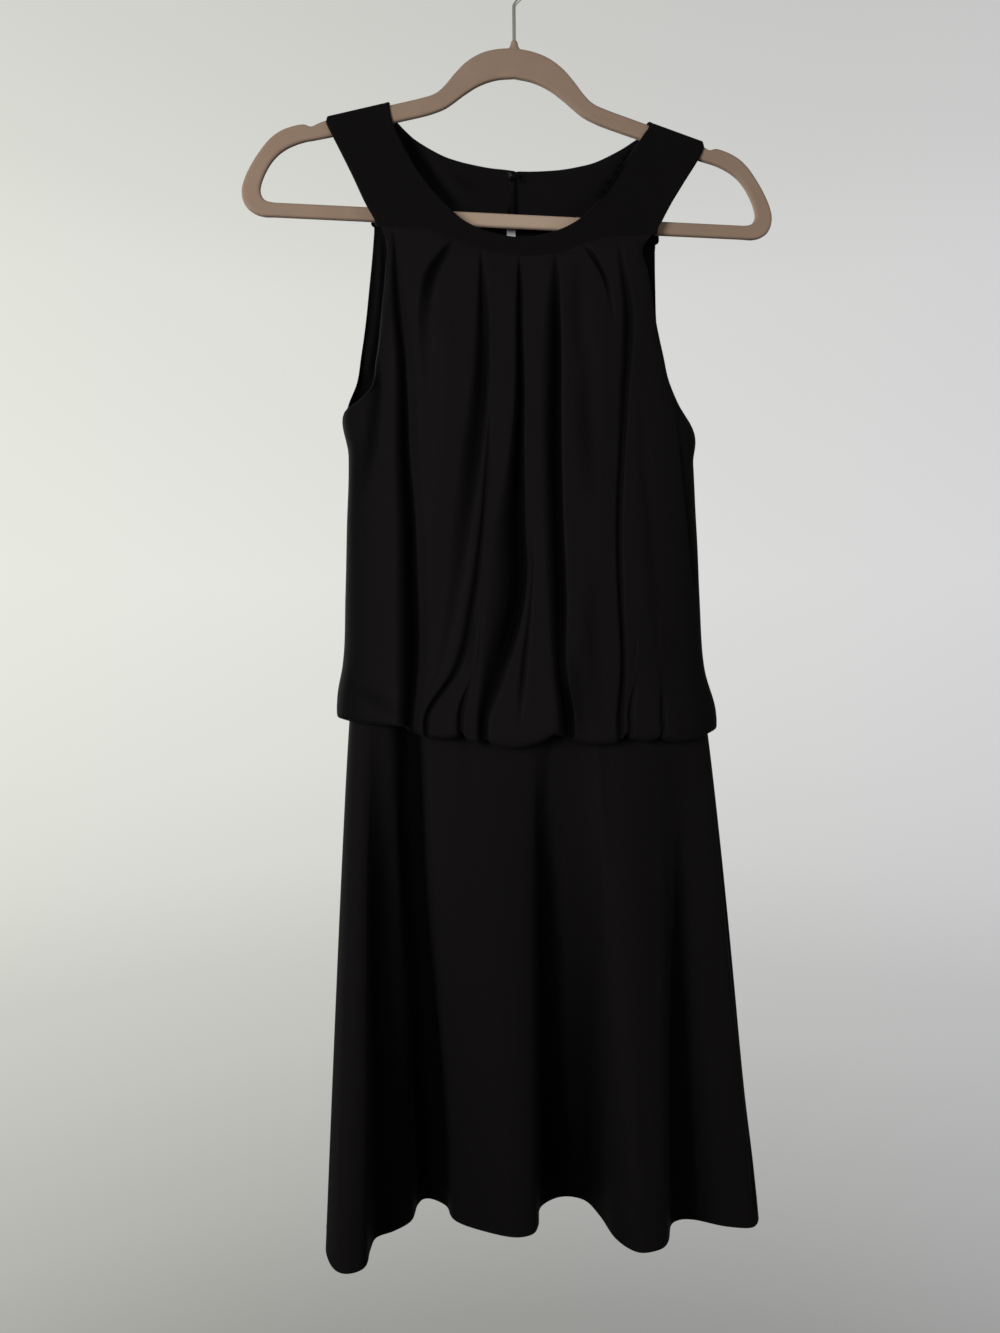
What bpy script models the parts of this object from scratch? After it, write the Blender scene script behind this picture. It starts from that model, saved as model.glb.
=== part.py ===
"""Sleeveless blouson cocktail dress in black jersey, hanging on a slim flocked hanger.

Run with: blender --background --python part.py
Origin: the inner seat of the hanger's hook. +X is the wearer's left, +Y the back, +Z up.
Every table is in millimetres; meshes are made in metres.
"""

import math
from collections import namedtuple

import bpy
import numpy as np

MM = 0.001
SHARP_ANGLE = math.radians(50)

# Cloth
YOKE_WALL = 2.0  # two layers of jersey
BODICE_WALL = 1.2
SKIRT_WALL = 1.3
SEAM_GAP = 0.3
YOKE_SEAM_GAP = 0.4  # the two walls lean a little differently along this seam
LAP_GAP = 0.8  # bodice turned under, against the skirt's top edge
LAP_DEPTH = 1.5  # its edge lies this far below the skirt's top edge

# Hanger
HANGER_HALF_THICK = 2.75
HANGER_CHAMFER = 1.6
HOOK_WIRE = 1.5  # radius of the wire
HOOK_INNER = 20.0  # inner radius of the hook
HOOK_STEM = (-83.7, -74.0, -64.0, -54.0)  # heights
HOOK_NECK = [(0.0, -54.0), (0.6, -47.5), (6.5, -41.0), (14.5, -36.3)]  # x and z
HOOK_ARC = range(-48, 206, 11)  # degrees, anticlockwise from +X
HOOK_TIP = (-1.5, -4.5)  # the straight end of the wire, past the arc
ARM_TOP_X, ARM_TOP_Z, ARM_FALL = 78.0, -130.6, 0.2957  # the arm's straight top edge

# Heights
WAIST_Z = -626.0  # the hem's heights are in the skirt tables

# Half outline of the hanger, from the top of its hump round to the middle of the bar.
HangerRow = namedtuple("HangerRow", "outer_x outer_z inner_x inner_z")
HANGER_ROWS = [
    HangerRow(0, -84.0, 0, -108.8),
    HangerRow(15, -86.0, 15, -111.0),
    HangerRow(28, -90.2, 29, -116.5),
    HangerRow(40, -98.0, 41, -124.5),
    HangerRow(50, -108.5, 51, -132.5),
    HangerRow(58, -118.5, 58, -137.5),
    HangerRow(66, -125.8, 66, -141.3),
    HangerRow(78, -130.6, 77, -145.2),
    HangerRow(107, -139.2, 105, -153.2),
    HangerRow(148, -151.3, 145, -164.6),
    HangerRow(160, -155.8, 157, -167.8),
    HangerRow(167, -159.2, 164.5, -169.7),
    HangerRow(173.5, -157.9, 171.5, -171.4),
    HangerRow(184, -160.7, 179, -174.2),
    HangerRow(193.5, -165.6, 186, -177.9),
    HangerRow(201.5, -172.8, 192.5, -182.9),
    HangerRow(209, -183.0, 198.5, -190.0),
    HangerRow(215.5, -194.0, 203.5, -199.0),
    HangerRow(220, -204.0, 206.5, -207.0),
    HangerRow(222.3, -214.0, 207.5, -213.5),
    HangerRow(220.5, -223.5, 205.8, -218.6),
    HangerRow(215, -230.0, 202.5, -221.2),
    HangerRow(206, -233.5, 197, -222.2),
    HangerRow(192, -233.6, 190, -222.2),
    HangerRow(150, -233.6, 150, -222.2),
    HangerRow(75, -233.6, 75, -222.2),
    HangerRow(0, -233.6, 0, -222.2),
]

# How the double cloth of a strap passes over the arm: y, and height above the arm's top edge.
STRAP_BEND_FRONT = [(1.5, 2.45), (-1.2, 2.4), (-3.6, 1.5), (-5.0, -0.8), (-5.1, -4.0)]
STRAP_BEND_BACK = [(1.8, 2.43), (3.6, 1.5), (5.0, -0.8), (5.1, -4.0)]

# Lower seam of the front yoke, where the pleats start.
SeamRow = namedtuple("SeamRow", "x z")
FRONT_SEAM = [
    SeamRow(-112, -243.6),
    SeamRow(-80, -244.8),
    SeamRow(-56, -252.5),
    SeamRow(-30, -261.0),
    SeamRow(0, -264.4),
    SeamRow(30, -261.3),
    SeamRow(55, -250.8),
    SeamRow(78, -243.8),
    SeamRow(113, -239.5),
]
BACK_SEAM = [
    SeamRow(-116.3, -233.0),
    SeamRow(-60, -235.0),
    SeamRow(-20, -228.0),
    SeamRow(2.5, -225.5),
    SeamRow(25, -228.0),
    SeamRow(65, -236.0),
    SeamRow(119.5, -236.5),
]

# A yoke is a band: each row is one place along it, from neck edge to outer edge.
YokeRow = namedtuple("YokeRow", "neck_x neck_y neck_z edge_x edge_y edge_z")
FRONT_YOKE_ROWS = [
    YokeRow(-103.0, -5.4, -149.5, -150.5, -5.6, -164.5),
    YokeRow(-98.5, -6.8, -164.0, -143.0, -7.4, -180.0),
    YokeRow(-85.6, -9.6, -189.2, -133.0, -10.2, -201.5),
    YokeRow(-78.0, -11.0, -200.5, -124.2, -12.3, -221.5),
    YokeRow(-71.8, -12.4, -209.5, -117.0, -13.8, -235.0),
    YokeRow(-66.0, -13.4, -216.0, -112.0, -15.0, -243.6),
    YokeRow(-60.5, -14.3, -222.0, -86.0, -16.8, -244.4),
    YokeRow(-53.0, -15.6, -229.5, -62.0, -18.3, -250.0),
    YokeRow(-44.0, -16.8, -236.6, -45.0, -19.2, -256.4),
    YokeRow(-32.0, -17.6, -241.3, -31.0, -19.9, -260.8),
    YokeRow(-16.0, -18.2, -244.5, -16.0, -20.3, -263.4),
    YokeRow(0.0, -18.4, -245.7, 0.0, -20.5, -264.4),
    YokeRow(16.0, -18.2, -243.9, 16.0, -20.3, -263.5),
    YokeRow(30.0, -17.6, -240.9, 31.0, -19.9, -261.0),
    YokeRow(42.0, -16.8, -236.0, 44.0, -19.2, -256.2),
    YokeRow(52.5, -15.6, -228.8, 59.0, -18.4, -249.2),
    YokeRow(60.0, -14.3, -221.8, 82.0, -16.9, -243.0),
    YokeRow(66.5, -13.3, -214.8, 113.0, -15.0, -239.5),
    YokeRow(72.5, -12.2, -206.9, 118.5, -13.5, -230.5),
    YokeRow(80.0, -10.8, -195.5, 127.5, -11.8, -214.0),
    YokeRow(90.5, -9.2, -179.4, 140.5, -9.4, -193.0),
    YokeRow(103.0, -6.9, -161.0, 152.0, -7.2, -175.0),
    YokeRow(110.5, -5.5, -150.0, 157.5, -5.6, -165.8),
]
FRONT_CORNER_LEFT, FRONT_CORNER_RIGHT = 5, 17  # rows where the armhole edge meets the seam
SHOULDER_X = {-1: (-104.3, -153.8), 1: (113.9, 160.5)}  # neck and armhole edges on each arm

CENTRE_BACK_X = 2.5
CENTRE_WAIST_X = 8.6  # the dress drifts a little towards +X on its way down
SLIT_TOP, SLIT_END = 1.5, 0.4  # half width of the slit at the neck edge and at the yoke seam
BACK_YOKE_LEFT_ROWS = [
    YokeRow(-100.5, 5.6, -146.0, -150.3, 5.6, -164.5),
    YokeRow(-93.0, 6.8, -150.8, -144.0, 6.9, -178.0),
    YokeRow(-81.7, 8.4, -157.5, -135.0, 8.5, -197.0),
    YokeRow(-62.3, 10.4, -168.0, -124.0, 10.8, -219.0),
    YokeRow(-48.0, 11.3, -172.6, -116.3, 12.5, -233.0),
    YokeRow(-34.0, 12.0, -176.0, -85.0, 14.0, -234.8),
    YokeRow(-20.0, 12.4, -178.4, -50.0, 15.0, -233.6),
    YokeRow(-8.0, 12.6, -180.0, -22.0, 15.5, -228.3),
    YokeRow(2.5, 12.7, -180.9, 2.5, 15.7, -225.5),
]
BACK_YOKE_RIGHT_ROWS = [
    YokeRow(109.0, 5.6, -148.5, 157.0, 5.6, -165.8),
    YokeRow(102.0, 6.8, -153.5, 150.5, 6.9, -179.0),
    YokeRow(90.0, 8.4, -161.0, 141.0, 8.5, -198.0),
    YokeRow(71.0, 10.4, -170.3, 128.5, 10.8, -221.5),
    YokeRow(55.0, 11.3, -174.8, 119.5, 12.5, -236.5),
    YokeRow(40.0, 12.0, -177.8, 90.0, 14.0, -237.5),
    YokeRow(26.0, 12.4, -179.5, 56.0, 15.0, -234.5),
    YokeRow(14.0, 12.6, -180.5, 26.0, 15.5, -228.2),
    YokeRow(2.5, 12.7, -180.9, 2.5, 15.7, -225.5),
]
BACK_CORNER = 4

# Bodice sections. Ends of the row at the armhole or side seam, and the depth at its middle.
# seam_share and low_share say how far the row follows the yoke seam and the blouson's lower edge.
BodiceRow = namedtuple(
    "BodiceRow", "name left_x left_y left_z right_x right_y right_z crown_y seam_share low_share"
)
FRONT_ROWS = [
    BodiceRow("yoke seam", -112.0, -15.0, -243.9, 113.0, -15.0, -239.8, -20.5, 1.0, 0.0),
    BodiceRow("under yoke", -107.4, -15.2, -256.5, 104.0, -15.2, -250.5, -22.0, 0.85, 0.0),
    BodiceRow("armhole 1", -108.8, -15.0, -278.0, 108.0, -15.0, -269.0, -24.0, 0.6, 0.0),
    BodiceRow("armhole 2", -112.0, -14.5, -314.0, 114.0, -14.5, -303.0, -26.0, 0.35, 0.0),
    BodiceRow("armhole 3", -116.0, -13.0, -349.0, 121.5, -12.5, -338.0, -28.0, 0.2, 0.0),
    BodiceRow("armhole 4", -122.5, -10.0, -374.0, 129.0, -9.5, -366.0, -29.5, 0.1, 0.0),
    BodiceRow("armhole 5", -131.5, -5.0, -384.0, 138.0, -5.0, -381.5, -30.0, 0.06, 0.0),
    BodiceRow("underarm", -140.0, 0.0, -389.5, 147.5, 0.0, -393.0, -30.5, 0.03, 0.0),
    BodiceRow("bust", -139.5, 0.0, -425.0, 150.0, 0.0, -428.0, -31.5, 0.0, 0.0),
    BodiceRow("midriff", -141.0, 0.0, -482.0, 152.0, 0.0, -482.0, -34.0, 0.0, 0.0),
    BodiceRow("waist", -142.7, 0.0, -540.0, 154.5, 0.0, -542.0, -37.5, 0.0, 0.1),
    BodiceRow("blouson", -145.6, 0.0, -594.0, 158.5, 0.0, -600.0, -42.0, 0.0, 0.5),
]
BACK_ROWS = [
    BodiceRow("yoke seam", -116.3, 12.5, -233.3, 119.5, 12.5, -236.8, 16.0, 1.0, 0.0),
    BodiceRow("armhole 1", -117.5, 13.0, -268.0, 119.5, 13.0, -268.0, 18.5, 0.6, 0.0),
    BodiceRow("armhole 2", -121.0, 13.0, -307.0, 121.5, 13.0, -307.0, 20.5, 0.3, 0.0),
    BodiceRow("armhole 3", -127.0, 11.0, -340.0, 128.5, 11.0, -342.0, 22.0, 0.15, 0.0),
    BodiceRow("armhole 4", -132.0, 8.0, -363.0, 136.0, 7.5, -369.0, 23.0, 0.0, 0.0),
    BodiceRow("underarm", -140.0, 0.0, -389.5, 147.5, 0.0, -393.0, 24.0, 0.0, 0.0),
    BodiceRow("bust", -139.5, 0.0, -425.0, 150.0, 0.0, -428.0, 25.5, 0.0, 0.0),
    BodiceRow("midriff", -141.0, 0.0, -482.0, 152.0, 0.0, -482.0, 28.0, 0.0, 0.0),
    BodiceRow("waist", -142.7, 0.0, -540.0, 154.5, 0.0, -542.0, 32.0, 0.0, 0.1),
    BodiceRow("blouson", -145.6, 0.0, -594.0, 158.5, 0.0, -600.0, 37.0, 0.0, 0.5),
]
BLOUSON_LEFT, BLOUSON_RIGHT = -150.7, 168.0
BLOUSON_FRONT, BLOUSON_BACK = -46.0, 41.0
WAIST_LEFT, WAIST_RIGHT = -139.0, 156.5
WAIST_FRONT, WAIST_BACK = -29.0, 26.0
SECTION_FULLNESS = 2.35  # 2 is an ellipse, more is boxier

# The blouson's turn: share of the way in from its widest section to the skirt, height over its
# lowest line or, where climb is set, share of the way up to the waist seam, and share of the folds.
TurnRow = namedtuple("TurnRow", "inwards rise climb fold_share")
TURN_ROWS = [
    TurnRow(0.06, 17.0, 0.0, 1.0),
    TurnRow(0.0, 8.0, 0.0, 0.9),
    TurnRow(0.12, 2.2, 0.0, 0.65),
    TurnRow(0.42, 0.0, 0.0, 0.35),
    TurnRow(0.76, 2.2, 0.0, 0.05),
    TurnRow(0.91, 2.2, 0.4, 0.0),
    TurnRow(1.0, 2.2, 1.0, 0.0),
]
LowRow = namedtuple("LowRow", "x z")
BLOUSON_LOW_FRONT = [
    LowRow(-150, -638.5),
    LowRow(-139, -642.5),
    LowRow(-121, -639.5),
    LowRow(-98, -646.0),
    LowRow(-67, -654.0),
    LowRow(-50, -652.5),
    LowRow(-30, -659.5),
    LowRow(-8, -661.0),
    LowRow(18, -656.5),
    LowRow(32, -656.0),
    LowRow(60, -660.0),
    LowRow(82, -653.5),
    LowRow(96, -656.5),
    LowRow(114, -658.5),
    LowRow(142, -659.0),
    LowRow(166, -652.5),
]
BLOUSON_LOW_BACK = [
    LowRow(-150, -638.5),
    LowRow(-120, -645.0),
    LowRow(-80, -644.0),
    LowRow(-45, -651.0),
    LowRow(8, -648.0),
    LowRow(55, -656.0),
    LowRow(95, -652.0),
    LowRow(135, -658.5),
    LowRow(166, -652.5),
]

# Folds of the bodice. x and inward depth at each of the fold heights; soft is the gentle flank's
# width and sharp the steep one's, which faces +X where steep_side is 1 and -X where it is -1.
FOLD_HEIGHTS = (-262.0, -290.0, -360.0, -450.0, -540.0, -590.0, -645.0)
Fold = namedtuple("Fold", "name x depth soft sharp steep_side")
FRONT_FOLDS = [
    Fold("pleat 1", (-102, -100.5, -97, -92, -89.5, -90, -95.5), (2, 4.5, 6.5, 8, 9, 9, 7), 12, 4, 1),
    Fold("pleat 2", (-57, -74, -80, -82, -83, -83.5, -88), (1.5, 6.5, 2.5, 0, 0, 0, 0), 5, 10, -1),
    Fold("pleat 3", (-31.5, -32.5, -36, -46, -60, -67, -81.5), (2, 5, 6.5, 5.5, 2, 1, 2), 6, 7, 1),
    Fold("sweep", (-20, -20, -22, -30, -41, -53, -69), (0, 0, 0, 2.5, 6, 7, 5), 9, 5, -1),
    Fold("pleat 4", (-1, -2.5, -3.5, -4.5, -10, -25, -33), (2, 5, 7.5, 8.5, 9, 8.5, 7), 6, 6, 1),
    Fold("split", (9, 8, 6, 5, 1.5, -0.5, -2.5), (0, 0, 0, 0, 3, 4.5, 2.5), 4, 3, 1),
    Fold("pleat 5", (28, 26, 23, 22, 22, 24.5, 33), (2, 5.5, 8, 8.5, 8.5, 8.5, 7), 8, 5, 1),
    Fold("pleat 6", (56, 68, 71, 69, 68, 68, 67), (1, 4.5, 0, 0, 0, 0, 0), 4, 4, -1),
    Fold("pleat 7", (86, 86, 82, 80.5, 80, 79.5, 79), (1, 6, 7, 7, 7, 7, 6), 5, 7, -1),
]
BACK_FOLDS = [
    Fold("back 1", (96, 96, 100, 104, 106, 106, 108), (0, 1, 3, 4, 5, 6, 6), 14, 9, 1),
    Fold("back 2", (52, 52, 54, 58, 62, 64, 66), (0, 1.5, 3.5, 5, 6, 7, 7), 14, 10, -1),
    Fold("back 3", (-46, -46, -46, -48, -48, -48, -50), (0, 1.5, 3.5, 5, 6, 7, 7), 12, 12, 1),
    Fold("back 4", (-88, -88, -90, -94, -98, -100, -102), (0, 1, 3, 4, 5, 6, 6), 12, 10, -1),
]
FOLD_SECTION = [(-1.0, 0.0), (-0.42, 0.55), (0.0, 1.0), (0.5, 0.62), (1.0, 0.0)]
FOLD_CLOSED_SHARE = 0.35  # a fold is this narrow where it is pressed shut
FOLD_FULL_DEPTH = 8.0  # and reaches its full width towards this depth
LEAST_COLUMN = 1.3  # between two columns of a bodice
SIDE_CROWDING = 1.5  # columns stand closer towards the rounded side seams
FRONT_MARGINS, BACK_MARGINS = (6, 8), (6, 6)  # columns between the outer folds and the sides
SEAM_DROOP = 18.0  # how far the front seam hangs below its ends, for the fold tables' heights

# Skirt: crest, flank and valley lines that run from the waist to the hem.
SkirtLine = namedtuple("SkirtLine", "name waist_x hem_x hem_y hem_z")
FRONT_SKIRT_LINES = [
    SkirtLine("side seam left", -139.0, -161.0, -12, -1050.5),
    SkirtLine("side", -137.5, -161.5, -32, -1053.0),
    SkirtLine("side lobe", -134.0, -155.0, -50, -1056.0),
    SkirtLine("side crest", -129.0, -144.0, -56, -1057.0),
    SkirtLine("side crest edge", -124.0, -131.0, -51, -1056.0),
    SkirtLine("step 1", -120.0, -127.0, -34, -1053.0),
    SkirtLine("step 1 back", -116.0, -122.0, -20, -1051.5),
    SkirtLine("shelf", -111.0, -107.5, -14, -1050.5),
    SkirtLine("shelf edge", -106.0, -93.5, -4, -1049.0),
    SkirtLine("valley 1", -100.0, -87.5, 15, -1047.0),
    SkirtLine("valley 1 floor", -94.0, -80.0, 21, -1046.0),
    SkirtLine("valley 1 rise", -87.0, -69.0, 10, -1047.5),
    SkirtLine("panel left", -78.0, -58.0, -8, -1050.0),
    SkirtLine("panel", -58.0, -40.0, -21, -1051.5),
    SkirtLine("panel crest", -30.0, -15.0, -32, -1053.2),
    SkirtLine("centre crest", -5.0, 1.5, -31, -1053.0),
    SkirtLine("centre edge", 6.0, 8.5, -21, -1051.5),
    SkirtLine("valley 2", 13.0, 14.0, 0, -1048.5),
    SkirtLine("valley 2 floor", 28.0, 33.0, 11, -1047.0),
    SkirtLine("valley 2 rise", 42.0, 51.5, 5, -1048.0),
    SkirtLine("lobe flank", 53.0, 60.5, -16, -1051.0),
    SkirtLine("lobe rise", 62.0, 67.0, -43, -1055.0),
    SkirtLine("lobe crest", 77.0, 80.0, -59, -1057.4),
    SkirtLine("lobe crest 2", 96.0, 95.5, -59, -1057.4),
    SkirtLine("lobe fall", 112.0, 108.0, -49, -1056.0),
    SkirtLine("valley 3", 124.0, 121.0, -33, -1053.3),
    SkirtLine("valley 3 rise", 134.0, 136.0, -31, -1053.0),
    SkirtLine("side panel", 144.0, 160.0, -40, -1054.3),
    SkirtLine("side front", 151.0, 181.0, -43, -1055.0),
    SkirtLine("side round", 155.2, 190.5, -32, -1053.3),
]
BACK_SKIRT_LINES = [
    SkirtLine("side seam right", 156.5, 191.0, -16, -1051.5),
    SkirtLine("side back right", 155.2, 191.5, 4, -1051.0),
    SkirtLine("round right", 151.0, 186.0, 24, -1051.0),
    SkirtLine("side crest right", 142.0, 170.0, 41, -1051.5),
    SkirtLine("crest 1", 125.0, 148.0, 49, -1052.5),
    SkirtLine("fall 1", 108.0, 126.0, 45, -1051.5),
    SkirtLine("valley 4", 90.0, 104.0, 37, -1050.5),
    SkirtLine("rise 2", 73.0, 82.0, 39, -1051.0),
    SkirtLine("crest 2 side", 56.0, 60.0, 52, -1052.5),
    SkirtLine("crest 2", 38.0, 36.0, 59, -1053.0),
    SkirtLine("fall 2", 20.0, 13.0, 53, -1052.0),
    SkirtLine("valley 5", 2.0, -9.0, 42, -1050.5),
    SkirtLine("rise 3", -16.0, -31.0, 43, -1051.0),
    SkirtLine("crest 3 side", -34.0, -54.0, 54, -1052.5),
    SkirtLine("crest 3", -54.0, -78.0, 62, -1053.0),
    SkirtLine("fall 3", -74.0, -100.0, 56, -1052.0),
    SkirtLine("valley 6", -94.0, -119.0, 42, -1050.5),
    SkirtLine("round left", -113.0, -138.0, 34, -1050.5),
    SkirtLine("side crest left", -128.0, -153.0, 25, -1050.5),
    SkirtLine("side back left", -137.0, -161.5, 8, -1050.5),
]
SKIRT_ROWS = (0.0, 0.035, 0.09, 0.19, 0.32, 0.48, 0.65, 0.83, 1.0)
FLARE_EASE = 0.82  # the outline widens fastest just under the waist
FOLD_EASE = 1.15  # the folds deepen towards the hem

YOKE_STEPS = 2  # samples to a span of the yoke tables
SKIRT_STEPS = 2  # samples to a span of the skirt tables

# Hook and eye on the inner side of the back neck edge. Each is one wire: a sewing ring at each
# end and, between them, a run of points by their offsets from the closure's middle; inwards is
# the distance from the cloth's inner face towards the front.
NOTION_WIRE = 0.45
HOOK_EYE_Z = -184.5
CENTRE_NECK_Y, CENTRE_NECK_Z = 12.7, -180.9  # the back neck edge at the slit
CENTRE_LEAN = 0.067  # the back leans out this much for each mm down
RING_RADIUS, RING_INWARDS = 1.3, 0.8
RING_ANGLES = range(200, 520, 40)
WirePoint = namedtuple("WirePoint", "across inwards up")
HOOK_RINGS, EYE_RINGS = (-7.5, 1.9), (6.5, 2.6)  # across, and up or down from the middle
HOOK_RUN = [
    WirePoint(-3.8, 1.4, -0.9),
    WirePoint(-1.6, 3.6, -0.7),
    WirePoint(1.6, 3.6, -0.6),
    WirePoint(2.5, 3.1, 0.0),
    WirePoint(1.6, 3.6, 0.6),
    WirePoint(-1.6, 3.6, 0.7),
    WirePoint(-3.8, 1.4, 0.9),
]
EYE_RUN = [
    WirePoint(3.2, 1.2, -2.3),
    WirePoint(0.6, 2.3, -1.9),
    WirePoint(-0.4, 2.3, 0.0),
    WirePoint(0.6, 2.3, 1.9),
    WirePoint(3.2, 1.2, 2.3),
]

# Size tab
TabSizes = namedtuple("TabSizes", "left right top_z low_z top_y lean wall")
TAB = TabSizes(-5.2, 1.6, -226.4, -243.0, 14.2, 0.05, 0.8)


# Curves


def smooth(knots, values, at):
    """Shape-preserving cubic through the knots, for every value in at."""
    knots, values = np.asarray(knots, float), np.asarray(values, float)
    step = np.diff(knots)
    rate = np.diff(values) / step
    slope = np.empty(len(knots))
    slope[0], slope[-1] = rate[0], rate[-1]
    product = rate[:-1] * rate[1:]
    total = np.where(product > 0, rate[:-1] + rate[1:], 1.0)
    slope[1:-1] = np.where(product > 0, 2 * product / total, 0.0)
    at = np.clip(np.asarray(at, float), knots[0], knots[-1])
    cell = np.clip(np.searchsorted(knots, at, side="right") - 1, 0, len(step) - 1)
    t = (at - knots[cell]) / step[cell]
    low, high = values[cell], values[cell + 1]
    low_slope, high_slope = slope[cell] * step[cell], slope[cell + 1] * step[cell]
    cubic, square = t**3, t**2
    return (
        (2 * cubic - 3 * square + 1) * low
        + (cubic - 2 * square + t) * low_slope
        + (3 * square - 2 * cubic) * high
        + (cubic - square) * high_slope
    )


def rounded(points, per_span, closed=False):
    """Catmull-Rom curve through points, per_span samples to each span."""
    points = np.asarray(points, float)
    if closed:
        ring = np.concatenate([points[-1:], points, points[:2]])
    else:
        ring = np.concatenate([2 * points[:1] - points[1:2], points, 2 * points[-1:] - points[-2:-1]])
    out = []
    for before, start, end, after in zip(ring, ring[1:], ring[2:], ring[3:]):
        for t in np.arange(per_span) / per_span:
            out.append(
                0.5
                * (
                    2 * start
                    + (end - before) * t
                    + (2 * before - 5 * start + 4 * end - after) * t**2
                    + (3 * start - before - 3 * end + after) * t**3
                )
            )
    if not closed:
        out.append(points[-1])
    return np.array(out)


def run_length(points):
    """Distance along a polyline at each of its points."""
    return np.concatenate([[0.0], np.cumsum(np.linalg.norm(np.diff(points, axis=0), axis=1))])


def section_arc(start, end, crown_y):
    """Half section of the garment, from one side (x, y) to the other, rounded out to crown_y."""
    angle = np.linspace(0.0, math.pi, 481)
    across = np.sign(np.cos(angle)) * np.abs(np.cos(angle)) ** (2 / SECTION_FULLNESS)
    out = np.sin(angle) ** (2 / SECTION_FULLNESS)
    share = (1 - across) / 2
    x = start[0] + (end[0] - start[0]) * share
    y = start[1] + (end[1] - start[1]) * share + (crown_y - (start[1] + end[1]) / 2) * out
    return np.stack([x, y], axis=1)


# Meshes


def material(name, colour, roughness, metallic=0.0):
    made = bpy.data.materials.new(name)
    made.use_nodes = True
    shader = made.node_tree.nodes["Principled BSDF"]
    shader.inputs["Base Color"].default_value = (*colour, 1.0)
    shader.inputs["Roughness"].default_value = roughness
    shader.inputs["Metallic"].default_value = metallic
    return made


def add_object(name, points, faces, finish):
    """One closed mesh from points in millimetres."""
    mesh = bpy.data.meshes.new(name)
    mesh.from_pydata([tuple(p) for p in np.asarray(points) * MM], [], faces)
    mesh.validate()
    mesh.shade_smooth()
    mesh.set_sharp_from_angle(angle=SHARP_ANGLE)
    mesh.materials.append(finish)
    piece = bpy.data.objects.new(name, mesh)
    bpy.context.scene.collection.objects.link(piece)


def grid_normals(grid):
    """Outward unit normals of a grid whose rows run down and columns anticlockwise from above."""
    down = np.gradient(grid, axis=0)
    along = np.gradient(grid, axis=1)
    normals = np.cross(down, along)
    return normals / np.linalg.norm(normals, axis=2, keepdims=True)


def cloth(name, grid, wall, finish, normals=None):
    """Closed wall of cloth: the grid is its outer face, the inner face lies one wall inside."""
    rows, columns = grid.shape[:2]
    if normals is None:
        normals = grid_normals(grid)
    inner = grid - normals * wall
    points = np.concatenate([grid.reshape(-1, 3), inner.reshape(-1, 3)])
    inner_start = rows * columns

    def at(row, column):
        return row * columns + column

    faces = []
    for row in range(rows - 1):
        for column in range(columns - 1):
            corners = [
                at(row, column),
                at(row + 1, column),
                at(row + 1, column + 1),
                at(row, column + 1),
            ]
            faces.append(corners)
            faces.append([inner_start + corner for corner in reversed(corners)])
    rim = [at(0, column) for column in range(columns)]
    rim += [at(row, columns - 1) for row in range(1, rows)]
    rim += [at(rows - 1, column) for column in range(columns - 2, -1, -1)]
    rim += [at(row, 0) for row in range(rows - 2, 0, -1)]
    for here, there in zip(rim, rim[1:] + rim[:1]):
        faces.append([here, there, inner_start + there, inner_start + here])
    add_object(name, points, faces, finish)


def wire(name, path, radius, sides, finish):
    """Round wire along a path of points in millimetres."""
    curve = bpy.data.curves.new(name, "CURVE")
    curve.dimensions = "3D"
    curve.bevel_depth = radius * MM
    curve.bevel_resolution = sides // 2 - 2
    curve.use_fill_caps = True
    spline = curve.splines.new("POLY")
    spline.points.add(len(path) - 1)
    for point, place in zip(spline.points, path):
        point.co = (*(np.asarray(place) * MM), 1.0)
    curve.materials.append(finish)
    piece = bpy.data.objects.new(name, curve)
    bpy.context.scene.collection.objects.link(piece)


# Hanger


def arm_top(x):
    """Height of the arm's straight top edge over x."""
    return ARM_TOP_Z - ARM_FALL * (abs(x) - ARM_TOP_X)


def build_hanger_frame(finish):
    half = rounded([list(row) for row in HANGER_ROWS], 2)
    mirror = half[-2:0:-1] * np.array([-1, 1, -1, 1])
    outline = np.concatenate([half, mirror])
    flat, edge = HANGER_HALF_THICK, HANGER_HALF_THICK - HANGER_CHAMFER
    points = []
    for outer_x, outer_z, inner_x, inner_z in outline:
        outer, inner = np.array([outer_x, outer_z]), np.array([inner_x, inner_z])
        inwards = (inner - outer) / np.linalg.norm(inner - outer) * HANGER_CHAMFER
        section = [
            (outer, -edge),
            (outer + inwards, -flat),
            (inner - inwards, -flat),
            (inner, -edge),
            (inner, edge),
            (inner - inwards, flat),
            (outer + inwards, flat),
            (outer, edge),
        ]
        points += [(place[0], y, place[1]) for place, y in section]
    sides, stations = 8, len(outline)
    faces = []
    for station in range(stations):
        here, there = station * sides, (station + 1) % stations * sides
        for side in range(sides):
            after = (side + 1) % sides
            faces.append([here + side, here + after, there + after, there + side])
    add_object("hanger_frame", points, faces, finish)


def build_hanger_hook(finish):
    radius = HOOK_INNER + HOOK_WIRE
    path = [(0, 0, z) for z in HOOK_STEM]
    path += [(x, 0, z) for x, z in rounded(HOOK_NECK, 3)[1:-1]]
    for angle in np.radians(HOOK_ARC):
        path.append((radius * math.cos(angle), 0, radius * math.sin(angle) - HOOK_INNER))
    path.append((path[-1][0] + HOOK_TIP[0], 0, path[-1][2] + HOOK_TIP[1]))
    wire("hanger_hook", path, HOOK_WIRE, 8, finish)


# Yokes


def shoulder_rows(bend, shoulder_x):
    """Neck-to-armhole rows of a strap where it passes over the hanger's arm."""
    neck_x, edge_x = shoulder_x
    rows = []
    for y, rise in bend:
        rows.append(YokeRow(neck_x, y, arm_top(neck_x) + rise, edge_x, y, arm_top(edge_x) + rise))
    return rows


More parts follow.
